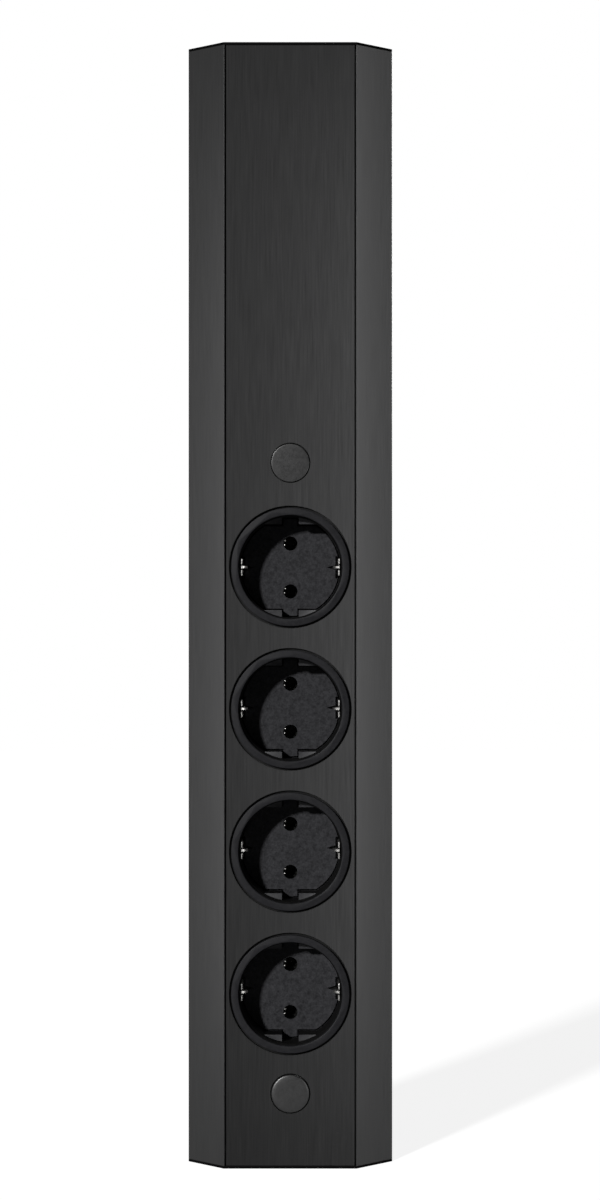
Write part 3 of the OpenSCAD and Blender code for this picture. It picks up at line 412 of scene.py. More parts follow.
# dark and light are the two ends of the colour's variation, rough the two ends of the roughness
finishes = {
    "black_anodised": {
        "skin": "brushGrain", "dark": (0.0165, 0.0165, 0.0167), "light": (0.0235, 0.0235, 0.0237),
        "rough": (0.42, 0.50), "metallic": 0.35, "specular": 0.24, "bump": 0.06, "marks": 0.06, "dust": 0.05,
    },
    "black_brushed": {
        "skin": "brushGrain", "dark": (0.0067, 0.0067, 0.0068), "light": (0.0113, 0.0113, 0.0114),
        "rough": (0.41, 0.49), "metallic": 0.35, "specular": 0.12, "bump": 0.05, "marks": 0.05, "dust": 0.0,
    },
    "socket_plastic": {
        "skin": "mouldedSkin", "dark": (0.011, 0.011, 0.0122), "light": (0.048, 0.048, 0.052),
        "rough": (0.50, 0.64), "specular": 0.06, "bump": 0.20, "marks": 0.10, "dust": 0.06,
    },
    # partly a glossier rib face, partly painted sheen: a lighter tone that stands in for light on the rib
    # fronts
    "ribSheen": {
        "skin": "mouldedSkin", "dark": (0.020, 0.020, 0.022), "light": (0.044, 0.044, 0.047),
        "rough": (0.36, 0.46), "specular": 0.14, "bump": 0.06, "marks": 0.10, "dust": 0.04,
    },
    "ringGloss": {
        "skin": "mouldedSkin", "dark": (0.009, 0.009, 0.0105), "light": (0.018, 0.018, 0.020),
        "rough": (0.42, 0.50), "specular": 0.14, "bump": 0.04, "marks": 0.20, "dust": 0.04,
    },
    # painted shade: the same plastic made near-black for recess walls and panel cut edges, so they darken
    # where shade falls
    "recessShade": {
        "skin": "mouldedSkin", "dark": (0.003, 0.003, 0.003), "light": (0.008, 0.008, 0.008),
        "rough": (0.50, 0.62), "specular": 0.05, "bump": 0.10, "marks": 0.05, "dust": 0.02,
    },
    # painted shade: near-black for the slots of the earth fingers and the contact faces seen through the pin
    # holes
    "sparkDark": {
        "skin": "mouldedSkin", "dark": (0.003, 0.003, 0.003), "light": (0.008, 0.008, 0.007),
        "rough": (0.50, 0.65), "specular": 0.10, "bump": 0.10, "marks": 0.05, "dust": 0.0,
    },
    "coated_steel": {
        "skin": "mouldedSkin", "dark": (0.002, 0.002, 0.002), "light": (0.004, 0.004, 0.004),
        "rough": (0.55, 0.70), "specular": 0.2, "bump": 0.10, "marks": 0.05, "dust": 0.05,
    },
    "cap_plastic": {
        "skin": "mouldedSkin", "dark": (0.0010, 0.0010, 0.0011), "light": (0.0028, 0.0028, 0.0029),
        "rough": (0.55, 0.68), "specular": 0.05, "bump": 0.25, "marks": 0.10, "dust": 0.12,
    },
    "cover_plastic": {
        "skin": "mouldedSkin", "dark": (0.0066, 0.0066, 0.0067), "light": (0.0150, 0.0150, 0.0152),
        "rough": (0.30, 0.38), "specular": 0.70, "bump": 0.15, "marks": 0.10, "dust": 0.0,
    },
    "dark_plastic": {
        "skin": "mouldedSkin", "dark": (0.020, 0.020, 0.022), "light": (0.036, 0.036, 0.039),
        "rough": (0.45, 0.60), "specular": 0.4, "bump": 0.25, "marks": 0.05, "dust": 0.10,
    },
    "black_screw": {
        "skin": "mouldedSkin", "dark": (0.016, 0.016, 0.017), "light": (0.030, 0.030, 0.031),
        "rough": (0.30, 0.42), "metallic": 0.8, "bump": 0.08, "marks": 0.40, "dust": 0.05,
    },
    "zinc_steel": {
        "skin": "mouldedSkin", "dark": (0.48, 0.50, 0.52), "light": (0.64, 0.65, 0.66),
        "rough": (0.24, 0.38), "metallic": 1.0, "bump": 0.05, "marks": 0.35, "dust": 0.05,
    },
    "spring_steel": {
        "skin": "brushGrain", "dark": (0.42, 0.415, 0.40), "light": (0.58, 0.57, 0.55),
        "rough": (0.30, 0.40), "metallic": 1.0, "bump": 0.05, "marks": 0.30, "dust": 0.0,
    },
    "brass": {
        "skin": "brushGrain", "dark": (0.10, 0.078, 0.045), "light": (0.20, 0.155, 0.088),
        "rough": (0.36, 0.48), "metallic": 1.0, "bump": 0.05, "marks": 0.30, "dust": 0.0,
    },
    "copper": {
        "skin": "brushGrain", "dark": (0.50, 0.22, 0.12), "light": (0.66, 0.32, 0.19),
        "rough": (0.26, 0.38), "metallic": 1.0, "bump": 0.05, "marks": 0.20, "dust": 0.0,
    },
    "rubber": {
        "skin": "mouldedSkin", "dark": (0.010, 0.010, 0.010), "light": (0.018, 0.018, 0.018),
        "rough": (0.62, 0.78), "specular": 0.3, "bump": 0.30, "marks": 0.0, "dust": 0.20,
    },
    "white_nylon": {
        "skin": "mouldedSkin", "dark": (0.60, 0.58, 0.52), "light": (0.74, 0.72, 0.66),
        "rough": (0.40, 0.52), "bump": 0.15, "marks": 0.05, "dust": 0.10,
    },
    "brown_pvc": {
        "skin": "brushGrain", "dark": (0.12, 0.038, 0.016), "light": (0.19, 0.062, 0.027),
        "rough": (0.34, 0.44), "bump": 0.10, "marks": 0.05, "dust": 0.05,
    },
    "blue_pvc": {
        "skin": "brushGrain", "dark": (0.022, 0.10, 0.36), "light": (0.04, 0.15, 0.48),
        "rough": (0.34, 0.44), "bump": 0.10, "marks": 0.05, "dust": 0.05,
    },
    "green_yellow_pvc": {
        "skin": "brushGrain", "dark": (0.03, 0.22, 0.04), "light": (0.05, 0.30, 0.06),
        "rough": (0.34, 0.44), "bump": 0.10, "marks": 0.05, "dust": 0.05, "stripe": (0.78, 0.62, 0.05),
    },
}


# Principled surface: a skin varies tone, roughness and height; marks and dust lie over it.
def buildFinish(name, look):
    material = bpy.data.materials.new(name)
    material.use_nodes = True
    tree = material.node_tree
    tree.nodes.clear()
    skin = place(tree, "ShaderNodeGroup", node_tree=groups[look["skin"]])
    tone = skin.outputs["Grain" if look["skin"] == "brushGrain" else "Tone"]
    colour = mixedColour(tree, tone, look["dark"], look["light"])
    if "stripe" in look:
        where = place(tree, "ShaderNodeTexCoord").outputs["Object"]
        bands = place(tree, "ShaderNodeTexWave", {
            "Vector": where, "Scale": stripePlan["scale"], "Distortion": 0.0,
        }, bands_direction="X")
        band = ranged(tree, bands.outputs["Fac"], stripePlan["edge"])
        colour = mixedColour(tree, band, colour, look["stripe"])
    marks = place(tree, "ShaderNodeGroup", {"Density": look["marks"]}, node_tree=groups["handlingMarks"])
    dust = place(tree, "ShaderNodeGroup", {"Amount": look["dust"]}, node_tree=groups["topDust"])
    times, plus = marksPlan["paler"]
    paler = tuple(min(1.0, part * times + plus) for part in look["light"])
    colour = mixedColour(tree, marks.outputs["Mask"], colour, paler)
    colour = mixedColour(tree, dust.outputs["Mask"], colour, dustPlan["colour"])
    rough = ranged(tree, tone, (0.0, 1.0), look["rough"])
    bump = place(tree, "ShaderNodeBump", {
        "Height": skin.outputs["Height"], "Strength": look["bump"], "Distance": bumpDepth,
    })
    surface = place(tree, "ShaderNodeBsdfPrincipled", {
        "Base Color": colour, "Roughness": calc(tree, "ADD", rough, dust.outputs["Mask"]),
        "Normal": bump.outputs[0], "Metallic": look.get("metallic", 0.0),
        "Specular IOR Level": look.get("specular", 0.5),
    })
    place(tree, "ShaderNodeOutputMaterial", {"Surface": surface.outputs[0]})
    return material


# Gives an object the finish of its slot, or another one, and the strips that name its slot.
def paint(item, slotName, finish=None):
    item.data.materials.clear()
    item.data.materials.append(materials[finish or slotName])
    reachByStrips(item, slotName)


materials = {name: buildFinish(name, look) for name, look in finishes.items()}
for nodeName, node in frame["nodes"].items():
    paint(node, slotOf[nodeName])
print("finishes ready:", len(materials))


# Unit vectors along the last axis.
def unit(way):
    return way / np.maximum(np.linalg.norm(way, axis=-1, keepdims=True), 1e-12)


# Arcs at corners: each touches both sides, and runs from one to the other by their angle's sines.
def cornerArcs(corners, back, ahead, radii, steps):
    half = np.arccos(np.clip((back * ahead).sum(1, keepdims=True), -1, 1)) / 2
    middle = corners + unit(back + ahead) * radii / np.sin(half)
    start = corners + back * radii / np.tan(half) - middle
    end = corners + ahead * radii / np.tan(half) - middle
    turn = (np.pi - 2 * half)[:, None, :]
    share = np.linspace(0, 1, steps)[None, :, None]
    arc = np.sin((1 - share) * turn) * start[:, None] + np.sin(share * turn) * end[:, None]
    return (middle[:, None] + arc / np.sin(turn)).reshape(-1, corners.shape[1])


# Closed outline with round corners: an arc of its own radius at every corner.
def roundedOutline(corners, radii, steps):
    corners = np.asarray(corners, float)
    radii = np.broadcast_to(np.asarray(radii, float), len(corners))[:, None]
    back, ahead = unit(np.roll(corners, 1, 0) - corners), unit(np.roll(corners, -1, 0) - corners)
    return cornerArcs(corners, back, ahead, radii, steps)


# Open way through corners in space: both ends, and an arc of one radius at every corner between.
def roundedWay(corners, radius, steps):
    corners = np.asarray(corners, float)
    here = corners[1:-1]
    arcs = cornerArcs(here, unit(corners[:-2] - here), unit(corners[2:] - here), radius, steps)
    return np.concatenate([corners[:1], arcs, corners[-1:]])


# Grid of a turned shape: each profile point of radius and depth goes round the depth axis.
def turnedGrid(profile, centre, angles, closedRows=False):
    radius, depth = profile[:, 0][:, None], profile[:, 1][:, None]
    x = centre[0] + radius * np.cos(angles)
    z = centre[1] + radius * np.sin(angles)
    return np.stack([x, depth + 0 * x, z], -1), gridQuads(len(profile), len(angles), closedRows, True)


# weld joins points of a new surface, and cadWeld and flatAngle clean the copy of a CAD mesh
meshPlan = {
    "weld": 0.0002 * mm, "cadWeld": 0.002 * mm, "flatAngle": 0.4, "sharpAngle": 35.0, "roundAngle": 40.0,
}


# Smooth object from a mesh, with its edges sharp where its faces meet at more than an angle.
def smoothObject(name, mesh):
    mesh.shade_smooth()
    mesh.set_sharp_from_angle(angle=math.radians(meshPlan["sharpAngle"]))
    piece = bpy.data.objects.new(name, mesh)
    bpy.context.scene.collection.objects.link(piece)
    return piece


# One mesh from several grids of points: equal points are merged, a quad with two equal corners becomes
# a triangle, one that shrank further is dropped, and the faces are turned to the outside.
def shellObject(name, grids):
    points = np.concatenate([grid.reshape(-1, 3) for grid, quads in grids])
    starts = np.cumsum([0] + [grid.size // 3 for grid, quads in grids])
    faces = np.concatenate([quads + start for (grid, quads), start in zip(grids, starts)])
    rounded = np.round(points / meshPlan["weld"])
    _, first, where = np.unique(rounded, axis=0, return_index=True, return_inverse=True)
    faces = where.ravel()[faces]
    apart = faces != np.roll(faces, -1, 1)
    corners = apart.sum(1)
    triangles = faces[corners == 3][apart[corners == 3]].reshape(-1, 3)
    mesh = bpy.data.meshes.new(name)
    mesh.from_pydata(points[first].tolist(), [], faces[corners == 4].tolist() + triangles.tolist())
    work = bmesh.new()
    work.from_mesh(mesh)
    bmesh.ops.recalc_face_normals(work, faces=work.faces)
    work.to_mesh(mesh)
    work.free()
    return smoothObject(name, mesh)


# The piece takes over a node's body and finish, and the node is hidden.
def takeOver(piece, nodeName):
    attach(piece, body_of(frame["nodes"][nodeName])[0])
    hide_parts(nodeName)
    paint(piece, slotOf[nodeName])


# Rounds the edges of a finished mesh that are sharper than an angle.
def roundEdges(piece, width, segments=2):
    soft = piece.modifiers.new("softEdges", "BEVEL")
    soft.width, soft.segments = width, segments
    soft.limit_method, soft.angle_limit = "ANGLE", math.radians(meshPlan["roundAngle"])
    soft.harden_normals = True
    return soft


# Centres of a piece's faces, one row for each.
def faceCentres(piece):
    centres = np.empty(len(piece.data.polygons) * 3)
    piece.data.polygons.foreach_get("center", centres)
    return centres.reshape(-1, 3)


# Faces whose measure lies between two limits get a finish of their own, such as the polished ring, or
# painted shade or painted sheen.
def finishBand(piece, finish, measure, least, most):
    piece.data.materials.append(materials[finish])
    chosen = np.empty(len(piece.data.polygons), np.int32)
    piece.data.polygons.foreach_get("material_index", chosen)
    chosen[(measure > least) & (measure < most)] = len(piece.data.materials) - 1
    piece.data.polygons.foreach_set("material_index", chosen)


# Middle of a node's box, seen from the front: half the sum of its two corners.
def centreOf(nodeName):
    low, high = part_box(nodeName)
    return (low.x + high.x) / 2, (low.z + high.z) / 2


# Name of the piece that stands in for a node: its words joined, each but the first with a capital.
def camelName(nodeName):
    first, *others = nodeName.split("_")
    return first + "".join(word.capitalize() for word in others)


# Front strip of the tower. Each hole has a field of its own: rows blend from the hole's circle to
# the field's rectangle, and neighbouring fields share the points of their common edge.
panelPlan = {
    "socketHole": 23.9 * mm, "coverHole": 7.8 * mm, "thickness": 1.5 * mm,
    "acrossSteps": 36, "upSteps": 30, "rings": 5, "rim": 0.12 * mm, "rimSegments": 3,
}


# Points go once round the rectangle. Each row is a share of them plus the rest of the circle's points,
# which lie in the same directions from the hole's middle.
def holeField(left, right, low, high, centre, radius):
    across = np.linspace(left, right, panelPlan["acrossSteps"] + 1)
    up = np.linspace(low, high, panelPlan["upSteps"] + 1)
    edge = np.concatenate([
        np.stack([across[:-1], 0 * across[:-1] + low], 1),
        np.stack([0 * up[:-1] + right, up[:-1]], 1),
        np.stack([across[:0:-1], 0 * across[:0:-1] + high], 1),
        np.stack([0 * up[:0:-1] + left, up[:0:-1]], 1),
    ])
    turn = np.arctan2(edge[:, 1] - centre, edge[:, 0])
    circle = np.stack([radius * np.cos(turn), centre + radius * np.sin(turn)], 1)
    share = np.linspace(0, 1, panelPlan["rings"])[:, None, None]
    flat = circle * (1 - share) + edge * share
    grid = np.stack([flat[..., 0], 0 * flat[..., 0] + panelFront, flat[..., 1]], -1)
    return grid, gridQuads(panelPlan["rings"], len(edge), closedColumns=True)


# One field for each hole, cut halfway between neighbouring rims, and a thickness behind them all.
def buildFrontPanel():
    low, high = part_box("front_panel")
    holes = [(centreOf(f"socket_{i}_cup")[1], panelPlan["socketHole"]) for i in socketNumbers]
    holes = sorted(holes + [(centreOf(name)[1], panelPlan["coverHole"]) for name in coverNames])
    cuts = [low.z] + [(a[0] + a[1] + b[0] - b[1]) / 2 for a, b in zip(holes, holes[1:])] + [high.z]
    panel = shellObject("frontPanel", [
        holeField(low.x, high.x, bottom, top, *hole) for bottom, top, hole in zip(cuts, cuts[1:], holes)
    ])
    if panel.data.polygons[0].normal.y > 0:
        panel.data.flip_normals()
    plate = panel.modifiers.new("plate", "SOLIDIFY")
    plate.thickness, plate.offset = panelPlan["thickness"], -1
    plate.material_offset_rim = 1   # the cut edges take the painted recess shade
    # the rounded edges take the painted shade too, which widens the dark gaps round the holes and along the
    # sides
    roundEdges(panel, panelPlan["rim"], panelPlan["rimSegments"]).material = 1
    takeOver(panel, "front_panel")
    # second slot: the painted shade of the cut edges
    panel.data.materials.append(materials["recessShade"])


# Snap-in cover. A disc with a soft rim carries a skirt, whose length drops to nothing at each slit.
coverPlan = {
    "columns": 120, "faceRings": (0, 0.35, 0.7, 0.9), "crown": 0.03 * mm, "crownShare": 0.2,
    "rimRound": 0.08 * mm, "proudShare": 0.95, "rimBack": 0.1 * mm, "rimSteps": 7,
    "skirtRadius": 6.3 * mm, "skirtWall": 1.0 * mm, "skirtLength": 3.0 * mm, "skirtRound": 0.2 * mm,
    "skirtSteps": 6, "slitsAt": (45, 135, 225, 315), "slit": 1.2 * mm, "slitEdge": 5e-5,
}


# The face falls back towards the rim by the square of the radius. Its crown and the rim's rounding grow
# with how far the cover stands proud. Two close columns at each side of a slit make its walls.
def buildScrewCover(nodeName):
    low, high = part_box(nodeName)
    centre, radius = centreOf(nodeName), (high.x - low.x) / 2
    outer, wall, slit = coverPlan["skirtRadius"], coverPlan["skirtWall"], coverPlan["slit"]
    back, skirtRound = high.y - coverPlan["skirtLength"], coverPlan["skirtRound"]
    edges = np.radians(coverPlan["slitsAt"])[:, None] + np.arcsin(slit / 2 / outer) * np.array([-1, 1])
    edges = edges[..., None] + coverPlan["slitEdge"] * np.array([-1, 1])
    angles = np.sort(np.concatenate([fullTurn(coverPlan["columns"]), edges.ravel()]))
    fromSlit = (angles + np.pi / 4) % (np.pi / 2)
    fromSlit = np.minimum(fromSlit, np.pi / 2 - fromSlit)
    inSlit = np.where(fromSlit * outer < slit / 2, 1.0, 0.0)
    proud = panelFront - low.y
    crown = coverPlan["crown"] + coverPlan["crownShare"] * proud
    share, steps = np.array(coverPlan["faceRings"]), coverPlan["rimSteps"]
    face = np.stack([radius * share, low.y + crown * share ** 2], 1)
    rim = roundedOutline(
        [[0, low.y + crown], [radius, low.y + crown], [radius, back], [0, back]],
        [0, coverPlan["rimRound"] + coverPlan["proudShare"] * proud, coverPlan["rimBack"], 0], steps,
    )[steps:3 * steps]
    skirt = roundedOutline(
        [[outer, back - skirtRound], [outer, high.y], [outer - wall, high.y], [outer - wall, back]],
        [0, skirtRound, skirtRound, 0], coverPlan["skirtSteps"],
    )[coverPlan["skirtSteps"]:]
    profile = np.concatenate([face, rim, [[outer, back]], skirt, [[0, back]]])
    drop = np.maximum(profile[:, 1] - back, 0)[:, None]
    drop[: len(face) + len(rim)] = 0
    grid, quads = turnedGrid(profile, centre, angles)
    grid[..., 1] -= drop * inSlit
    takeOver(shellObject(camelName(nodeName), [(grid, quads)]), nodeName)


# Rubber grommet: one closed outline with soft lips goes round the hole's axis.
grommetPlan = {
    "flange": 1.2 * mm, "lip": 1.3 * mm, "wall": 1.5 * mm, "ease": 0.1 * mm, "columns": 96, "steps": 7,
    "soft": 0.5 * mm, "softShares": (0.6, 0.8, 0.25, 0.1, 0.1, 0.25, 0.8, 0.6),   # of each corner in turn
}


# The outline runs from the bore out to a flange, in to the neck in the wall, and out to the other flange.
def buildGrommet():
    low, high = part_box("cable_grommet")
    centre, radius = centreOf("cable_grommet"), (high.x - low.x) / 2
    hole = radius - grommetPlan["lip"]
    neck, bore = hole - grommetPlan["ease"], hole - grommetPlan["wall"]
    inner, outer = low.y + grommetPlan["flange"], high.y - grommetPlan["flange"]
    profile = roundedOutline([
        [bore, low.y], [radius, low.y], [radius, inner], [neck, inner],
        [neck, outer], [radius, outer], [radius, high.y], [bore, high.y],
    ], np.array(grommetPlan["softShares"]) * grommetPlan["soft"], grommetPlan["steps"])
    grid = turnedGrid(profile, centre, fullTurn(grommetPlan["columns"]), closedRows=True)
    takeOver(shellObject("inletGrommet", [grid]), "cable_grommet")


# Wires: sheaths along round bends, with bare copper between each sheath's end and its terminal.
wirePlan = {
    "sheath": 1.3 * mm, "core": 0.7 * mm, "bend": 4.0 * mm, "bendSteps": 9, "depth": 27.0 * mm,
    "blockDepth": 11.0 * mm, "strip": 3.7 * mm, "slip": 0.15 * mm, "ease": 0.15 * mm, "sides": 24,
    # each pole's place at a socket, its height there, and its place in the terminal block
    "runs": {"line": (-12.0 * mm, pinHeight, -12.0 * mm), "neutral": (12.0 * mm, -pinHeight, 12.0 * mm),
             "earth": (-6.35 * mm, 0.0, 0.0)},
}


# Round rod along a way: the way plus the radius times a ring square to it, eased and closed at both ends.
def rodGrid(way, radius):
    ease, sides, ahead = wirePlan["ease"], wirePlan["sides"], unit(np.gradient(way, axis=0))
    first, last = way[:1] + ahead[:1] * ease, way[-1:] - ahead[-1:] * ease
    way = np.concatenate([way[:1], way[:1], first, way[1:-1], last, way[-1:], way[-1:]])
    ahead = np.concatenate([np.repeat(ahead[:1], 3, 0), ahead[1:-1], np.repeat(ahead[-1:], 3, 0)])
    radii = np.full(len(way), radius)
    radii[[0, -1]], radii[[1, -2]] = 0, radius - ease
    side = unit(np.cross(ahead, [1.0, 0.0, 0.0]))
    turn = fullTurn(sides)[:, None]
    ring = np.cos(turn) * side[:, None] + np.sin(turn) * np.cross(ahead, side)[:, None]
    return way[:, None] + radii[:, None, None] * ring, gridQuads(len(way), sides, closedColumns=True)


# Straight way up from one height to another: its two ends.
def uprightWay(x, depth, low, high):
    return np.array([[x, depth, low], [x, depth, high]])


# The sheaths replace the CAD wires, and the bare ends ride beside them in copper.
def wireObjects(nodeName, name, sheaths, cores, extra=()):
    takeOver(shellObject(name + "Sheaths", [rodGrid(way, wirePlan["sheath"]) for way in sheaths]), nodeName)
    bare = shellObject(name + "Cores", [rodGrid(way, wirePlan["core"]) for way in cores] + list(extra))
    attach(bare, body_of(frame["nodes"][nodeName])[0])
    paint(bare, "brass", "copper")


# Straight jumpers from each socket up to the next, and one bent feed from the top socket to the block.
def buildWires(pole):
    x, up, blockX = wirePlan["runs"][pole]
    depth, blockDepth = panelFront + wirePlan["depth"], panelFront + wirePlan["blockDepth"]
    strip, slip = wirePlan["strip"], wirePlan["slip"]
    heights = [centreOf(f"socket_{i}_cup")[1] + up for i in socketNumbers]
    blockLow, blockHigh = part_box("terminal_block")
    sheaths, cores = [], []
    for above, below in zip(heights, heights[1:]):
        sheaths.append(uprightWay(x, depth, below + strip, above - strip))
        cores.append(uprightWay(x, depth, below + slip, below + strip))
        cores.append(uprightWay(x, depth, above - strip, above - slip))
    bendHigh = blockLow.z - 2 * wirePlan["sheath"]
    bendLow = bendHigh - (depth - blockDepth)
    sheaths.append(roundedWay([
        [x, depth, heights[0] + strip], [x, depth, bendLow],
        [blockX, blockDepth, bendHigh], [blockX, blockDepth, blockLow.z - slip],
    ], wirePlan["bend"], wirePlan["bendSteps"]))
    cores.append(uprightWay(x, depth, heights[0] + slip, heights[0] + strip))
    cores.append(uprightWay(
        blockX, blockDepth, blockLow.z - slip, (blockLow.z + blockHigh.z) / 2 - slip,
    ))
    wireObjects(f"{pole}_wires", f"{pole}Wire", sheaths, cores)


# Ring tag of the bonding lead: a section goes round the hole, out to a round eye or to the tongue below it.
tagPlan = {
    "eye": 4.433 * mm, "hole": 2.15 * mm, "thickness": 0.867 * mm, "tongueHalf": 2.6 * mm,
    "tongueLength": 9.634 * mm, "ease": 0.12 * mm, "leadGap": 0.1 * mm, "turnUp": 5.2 * mm, "columns": 144,
}


# The section reaches to the eye's circle, or below it to the tongue's side or end, and is flat with
# eased edges.
def tagGrid(centre, front):
    turn = fullTurn(tagPlan["columns"])
    side = tagPlan["tongueHalf"] / np.maximum(np.abs(np.cos(turn)), 1e-6)
    end = tagPlan["tongueLength"] / np.maximum(-np.sin(turn), 1e-6)
    reach = np.maximum(tagPlan["eye"], np.where(np.sin(turn) < 0, np.minimum(side, end), 0))
    hole, ease, back = tagPlan["hole"] + 0 * turn, tagPlan["ease"], front + tagPlan["thickness"]
    radii = np.stack([hole + ease, reach - ease, reach, reach, reach - ease, hole + ease, hole, hole])
    depths = [front, front, front + ease, back - ease, back, back, back - ease, front + ease]
    x, z = radii * np.cos(turn), centre + radii * np.sin(turn)
    grid = np.stack([x, np.array(depths)[:, None] + 0 * x, z], -1)
    return grid, gridQuads(len(radii), len(turn), True, True)


# The lead rises from the block, turns back to the spine and lies along the tag's tongue.
def buildBondLead():
    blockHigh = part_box("terminal_block")[1]
    low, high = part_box("earth_bond_lead")
    blockDepth, blockTop = panelFront + wirePlan["blockDepth"], blockHigh.z + wirePlan["slip"]
    centre, front = high.z - tagPlan["eye"], high.y - tagPlan["thickness"]
    leadDepth = front - wirePlan["sheath"] - tagPlan["leadGap"]
    tongueEnd = centre - tagPlan["tongueLength"]
    turnHeight = tongueEnd - tagPlan["turnUp"]
    lead = roundedWay([
        [0, blockDepth, blockTop], [0, blockDepth, turnHeight],
        [0, leadDepth, turnHeight], [0, leadDepth, tongueEnd + 2 * wirePlan["sheath"]],
    ], wirePlan["bend"], wirePlan["bendSteps"])
    bare = uprightWay(0, blockDepth, low.z, blockTop)
    wireObjects("earth_bond_lead", "earthBond", [lead], [bare], [tagGrid(centre, front)])


# Two plated tips of each contact's springs show at the left edge of its pin hole.
tipPlan = {
    "radius": 0.44 * mm, "front": 16.62 * mm, "back": 22.3 * mm, "columns": 24, "steps": 7,
    "places": ((-2.05 * mm, 1.10 * mm), (-2.27 * mm, -0.60 * mm)),   # from the hole's middle
}


# Each tip is a quarter circle turned round its own axis, carried straight back to the contact.
def buildContactTips():
    radius, front, back = tipPlan["radius"], panelFront + tipPlan["front"], panelFront + tipPlan["back"]
    turn = np.linspace(0, np.pi / 2, tipPlan["steps"])
    dome = np.stack([radius * np.sin(turn), front + radius * (1 - np.cos(turn))], 1)
    profile = np.concatenate([dome, [[radius, back], [0, back]]])
    holes = [centreOf(f"socket_{i}_cup")[1] + side * pinHeight for i in socketNumbers for side in (-1, 1)]
    tips = shellObject("contactTips", [
        turnedGrid(profile, (x, hole + z), fullTurn(tipPlan["columns"]))
        for hole in holes for x, z in tipPlan["places"]
    ])
    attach(tips, body_of(frame["nodes"]["socket_1_line_contact"])[0])
    paint(tips, "spring_steel")


# Sprung leaf of an earth clip, with a nose between two slots in its front edge.
fingerPlan = {
    "leaf": 0.7 * mm, "roll": 0.6 * mm, "neckStart": 0.8, "neckEnd": 0.3,   # the neck in shares of the roll
    "bow": 0.12 * mm, "endRound": 0.25 * mm, "endInset": 0.6, "endSteps": 4, "steps": 7, "innerSteps": 44,
    "noseDepth": 3.2 * mm, "noseLength": 6.0 * mm, "noseHeight": 1.1 * mm, "noseSlope": 0.12 * mm,
    "nosePower": 0.8, "noseSteps": 4, "slot": 0.55 * mm, "slotDepth": 1.6 * mm, "slotSide": 0.03 * mm,
    # roundings in mm, from the leaf's front edge round the root and back
    "roundings": (0.3, 0.3, 0.15, 0.1, 0.58, 0.58, 0.1, 0.15),
}


# Outline of the leaf and its rolled root, with close points along the inner side for the nose.
def fingerOutline(middle, front, back):
    leaf, roll = fingerPlan["leaf"] / 2, fingerPlan["roll"]
    neckStart = back - roll - fingerPlan["neckStart"] * roll
    neckEnd = back - roll - fingerPlan["neckEnd"] * roll
    outline = roundedOutline([
        [middle - leaf, front], [middle + leaf, front], [middle + leaf, neckStart], [middle + roll, neckEnd],
        [middle + roll, back], [middle - roll, back], [middle - roll, neckEnd], [middle - leaf, neckStart],
    ], np.array(fingerPlan["roundings"]) * mm, fingerPlan["steps"])
    share = np.linspace(0, 1, fingerPlan["innerSteps"])[1:-1, None]
    outline = np.concatenate([outline, outline[-1] + (outline[0] - outline[-1]) * share])
    return np.roll(outline, -len(outline) // 2, 0)


# The outline stands over a row of heights. Both ends draw in by a quarter circle. The leaf bows by a
# sine of its depth, the nose is a sine ridge along the depth times a band across it, and in the two
# slots every point moves back to the slot's depth.
def buildEarthFinger(nodeName):
    low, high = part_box(nodeName)
    side = 1 if low.x > 0 else -1
    outside, tip = (high.x, low.x) if side > 0 else (-low.x, -high.x)
    middle, half, leaf = outside - fingerPlan["roll"], (high.z - low.z) / 2, fingerPlan["leaf"] / 2
    outline = fingerOutline(middle, low.y, high.y)
    ahead = unit(np.roll(outline, -1, 0) - np.roll(outline, 1, 0))
    curve, ease = np.linspace(0, np.pi / 2, fingerPlan["endSteps"]), fingerPlan["endRound"]
    nose, slotSide = fingerPlan["noseHeight"] / 2, fingerPlan["slotSide"]
    slotStart, slotEnd = nose + slotSide, nose + slotSide + fingerPlan["slot"]
    levels = np.concatenate([
        np.linspace(0, nose - fingerPlan["noseSlope"], fingerPlan["noseSteps"]), [nose, slotStart, slotEnd],
        np.linspace(slotEnd + slotSide, half - ease, fingerPlan["steps"])[:-1],
        half - ease * (1 - np.sin(curve)),
    ])
    inset = ease - np.sqrt(np.maximum(ease ** 2 - (levels - half + ease) ** 2, 0))
    inset = fingerPlan["endInset"] * np.where(levels > half - ease, inset, 0)
    z, inset = np.concatenate([-levels[:0:-1], levels]), np.concatenate([inset[:0:-1], inset])[:, None]
    x, y = outline[:, 0] - inset * ahead[:, 1], outline[:, 1] + inset * ahead[:, 0]
    along = np.clip((y - low.y) / (high.y - fingerPlan["roll"] - low.y), 0, 1)
    x = x - fingerPlan["bow"] * np.sin(np.pi * along)
    ridge = np.clip(1 - np.abs(y - (low.y + fingerPlan["noseDepth"])) / (fingerPlan["noseLength"] / 2), 0, 1)
    band = np.clip((nose - np.abs(z)) / fingerPlan["noseSlope"], 0, 1)[:, None]
    facing = np.clip((middle - outline[:, 0]) / leaf, 0, 1)
    x = x - (middle - leaf - tip) * np.sin(ridge * np.pi / 2) ** fingerPlan["nosePower"] * band * facing
    inSlot = ((np.abs(z) > nose + slotSide / 2) & (np.abs(z) < slotEnd + slotSide / 2))[:, None]
    y = np.maximum(y, low.y + fingerPlan["slotDepth"] * inSlot)
    centre = (low.z + high.z) / 2
    grid = np.stack([side * x, y, z[:, None] + centre + 0 * x], -1)
    grids = [(grid, gridQuads(len(z), len(outline), closedColumns=True))]
    for row in (grid[0], grid[-1]):
        grids.append((np.stack([row, row.mean(0) + 0 * row]), gridQuads(2, len(row), closedColumns=True)))
    words = nodeName.split("_")
    finger = shellObject(f"earthFinger{words[-1].capitalize()}{words[1]}", grids)
    takeOver(finger, nodeName)
    # the slots' faces take painted shade, so they read as dark gaps
    finishBand(finger, "sparkDark", np.abs(faceCentres(finger)[:, 2] - centre), nose, slotEnd + slotSide)


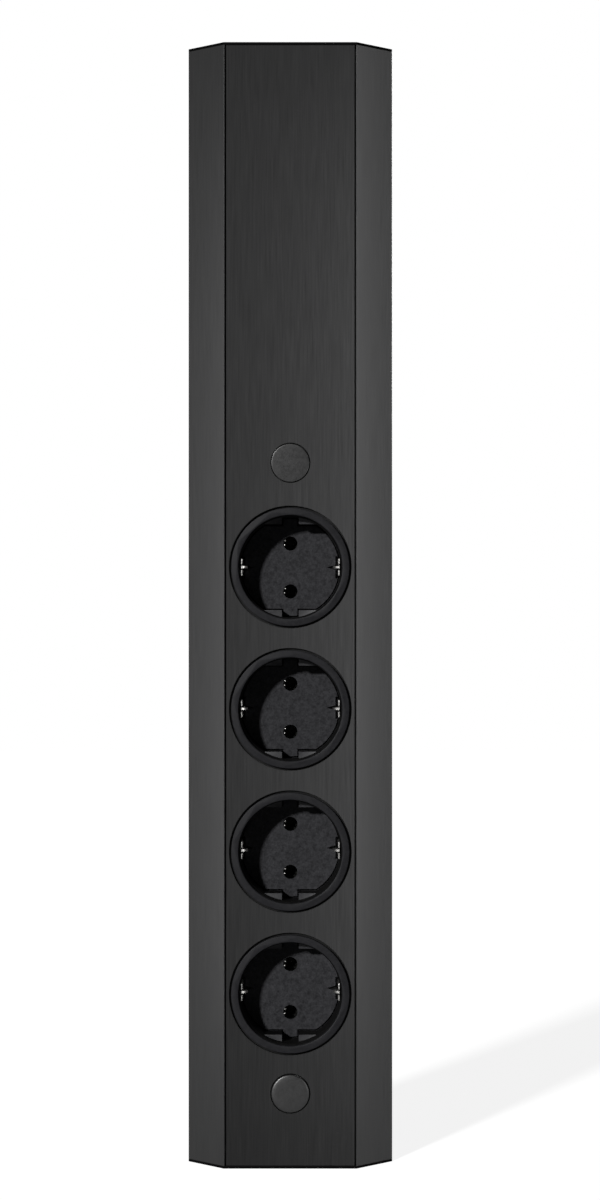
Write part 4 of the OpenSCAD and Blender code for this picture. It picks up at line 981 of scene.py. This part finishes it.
# width of the rounding for each kind of node that keeps its CAD form, by the end of its name
softenedPlan = {
    "body_profile": 0.15 * mm, "socket_carrier": 0.20 * mm, "end_cap": 0.25 * mm, "cup": 0.15 * mm,
    "retaining_nut": 0.30 * mm, "base": 0.30 * mm, "contact": 0.08 * mm, "earth_yoke": 0.12 * mm,
    "terminal_block": 0.30 * mm, "clamp_bars": 0.30 * mm, "press_nuts": 0.15 * mm, "sleeves": 0.10 * mm,
    "screws": 0.12 * mm, "bond_screw": 0.12 * mm,
}
# depths of a finish: in a cup behind the panel's face, and in a contact behind its own mouth; the recess and
# mouth bands are painted shade, the rib band a glossier face with painted sheen
bandPlan = {
    "cup": {"ringGloss": (-2.0 * mm, 1.2 * mm), "recessShade": (1.2 * mm, 18.4 * mm),
            "ribSheen": (6.4 * mm, 6.6 * mm), "socket_plastic": (16.6 * mm, 16.8 * mm)},
    "contact": {"sparkDark": (-0.2 * mm, 0.2 * mm)},
}


# Merged copy of a CAD node, with its flat faces joined into one, its edges rounded and its bands finished.
def buildSoftened(nodeName, width):
    mesh = frame["nodes"][nodeName].data.copy()
    mesh.name = camelName(nodeName)
    work = bmesh.new()
    work.from_mesh(mesh)
    bmesh.ops.remove_doubles(work, verts=work.verts, dist=meshPlan["cadWeld"])
    flat = math.radians(meshPlan["flatAngle"])
    bmesh.ops.dissolve_limit(work, angle_limit=flat, verts=work.verts, edges=work.edges)
    work.to_mesh(mesh)
    work.free()
    piece = smoothObject(camelName(nodeName), mesh)
    roundEdges(piece, width)
    takeOver(piece, nodeName)
    kind = nodeName.split("_")[-1]
    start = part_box(nodeName)[0].y if kind == "contact" else panelFront
    depth = faceCentres(piece)[:, 1] - start
    for finish, (front, back) in bandPlan.get(kind, {}).items():
        finishBand(piece, finish, depth, front, back)


buildFrontPanel()
for coverName in coverNames:
    buildScrewCover(coverName)
buildGrommet()
print("front panel, screw covers and grommet ready")
for pole in wirePlan["runs"]:
    buildWires(pole)
buildBondLead()
print("wires and earth bond ready")
buildContactTips()
for i in socketNumbers:
    for sideName in ("left", "right"):
        buildEarthFinger(f"socket_{i}_earth_finger_{sideName}")
print("contact tips and earth fingers ready")
for nodeName in frame["nodes"]:
    width = next((width for kind, width in softenedPlan.items() if nodeName.endswith(kind)), None)
    if width is not None:
        buildSoftened(nodeName, width)
print("rounded copies of the CAD forms ready")
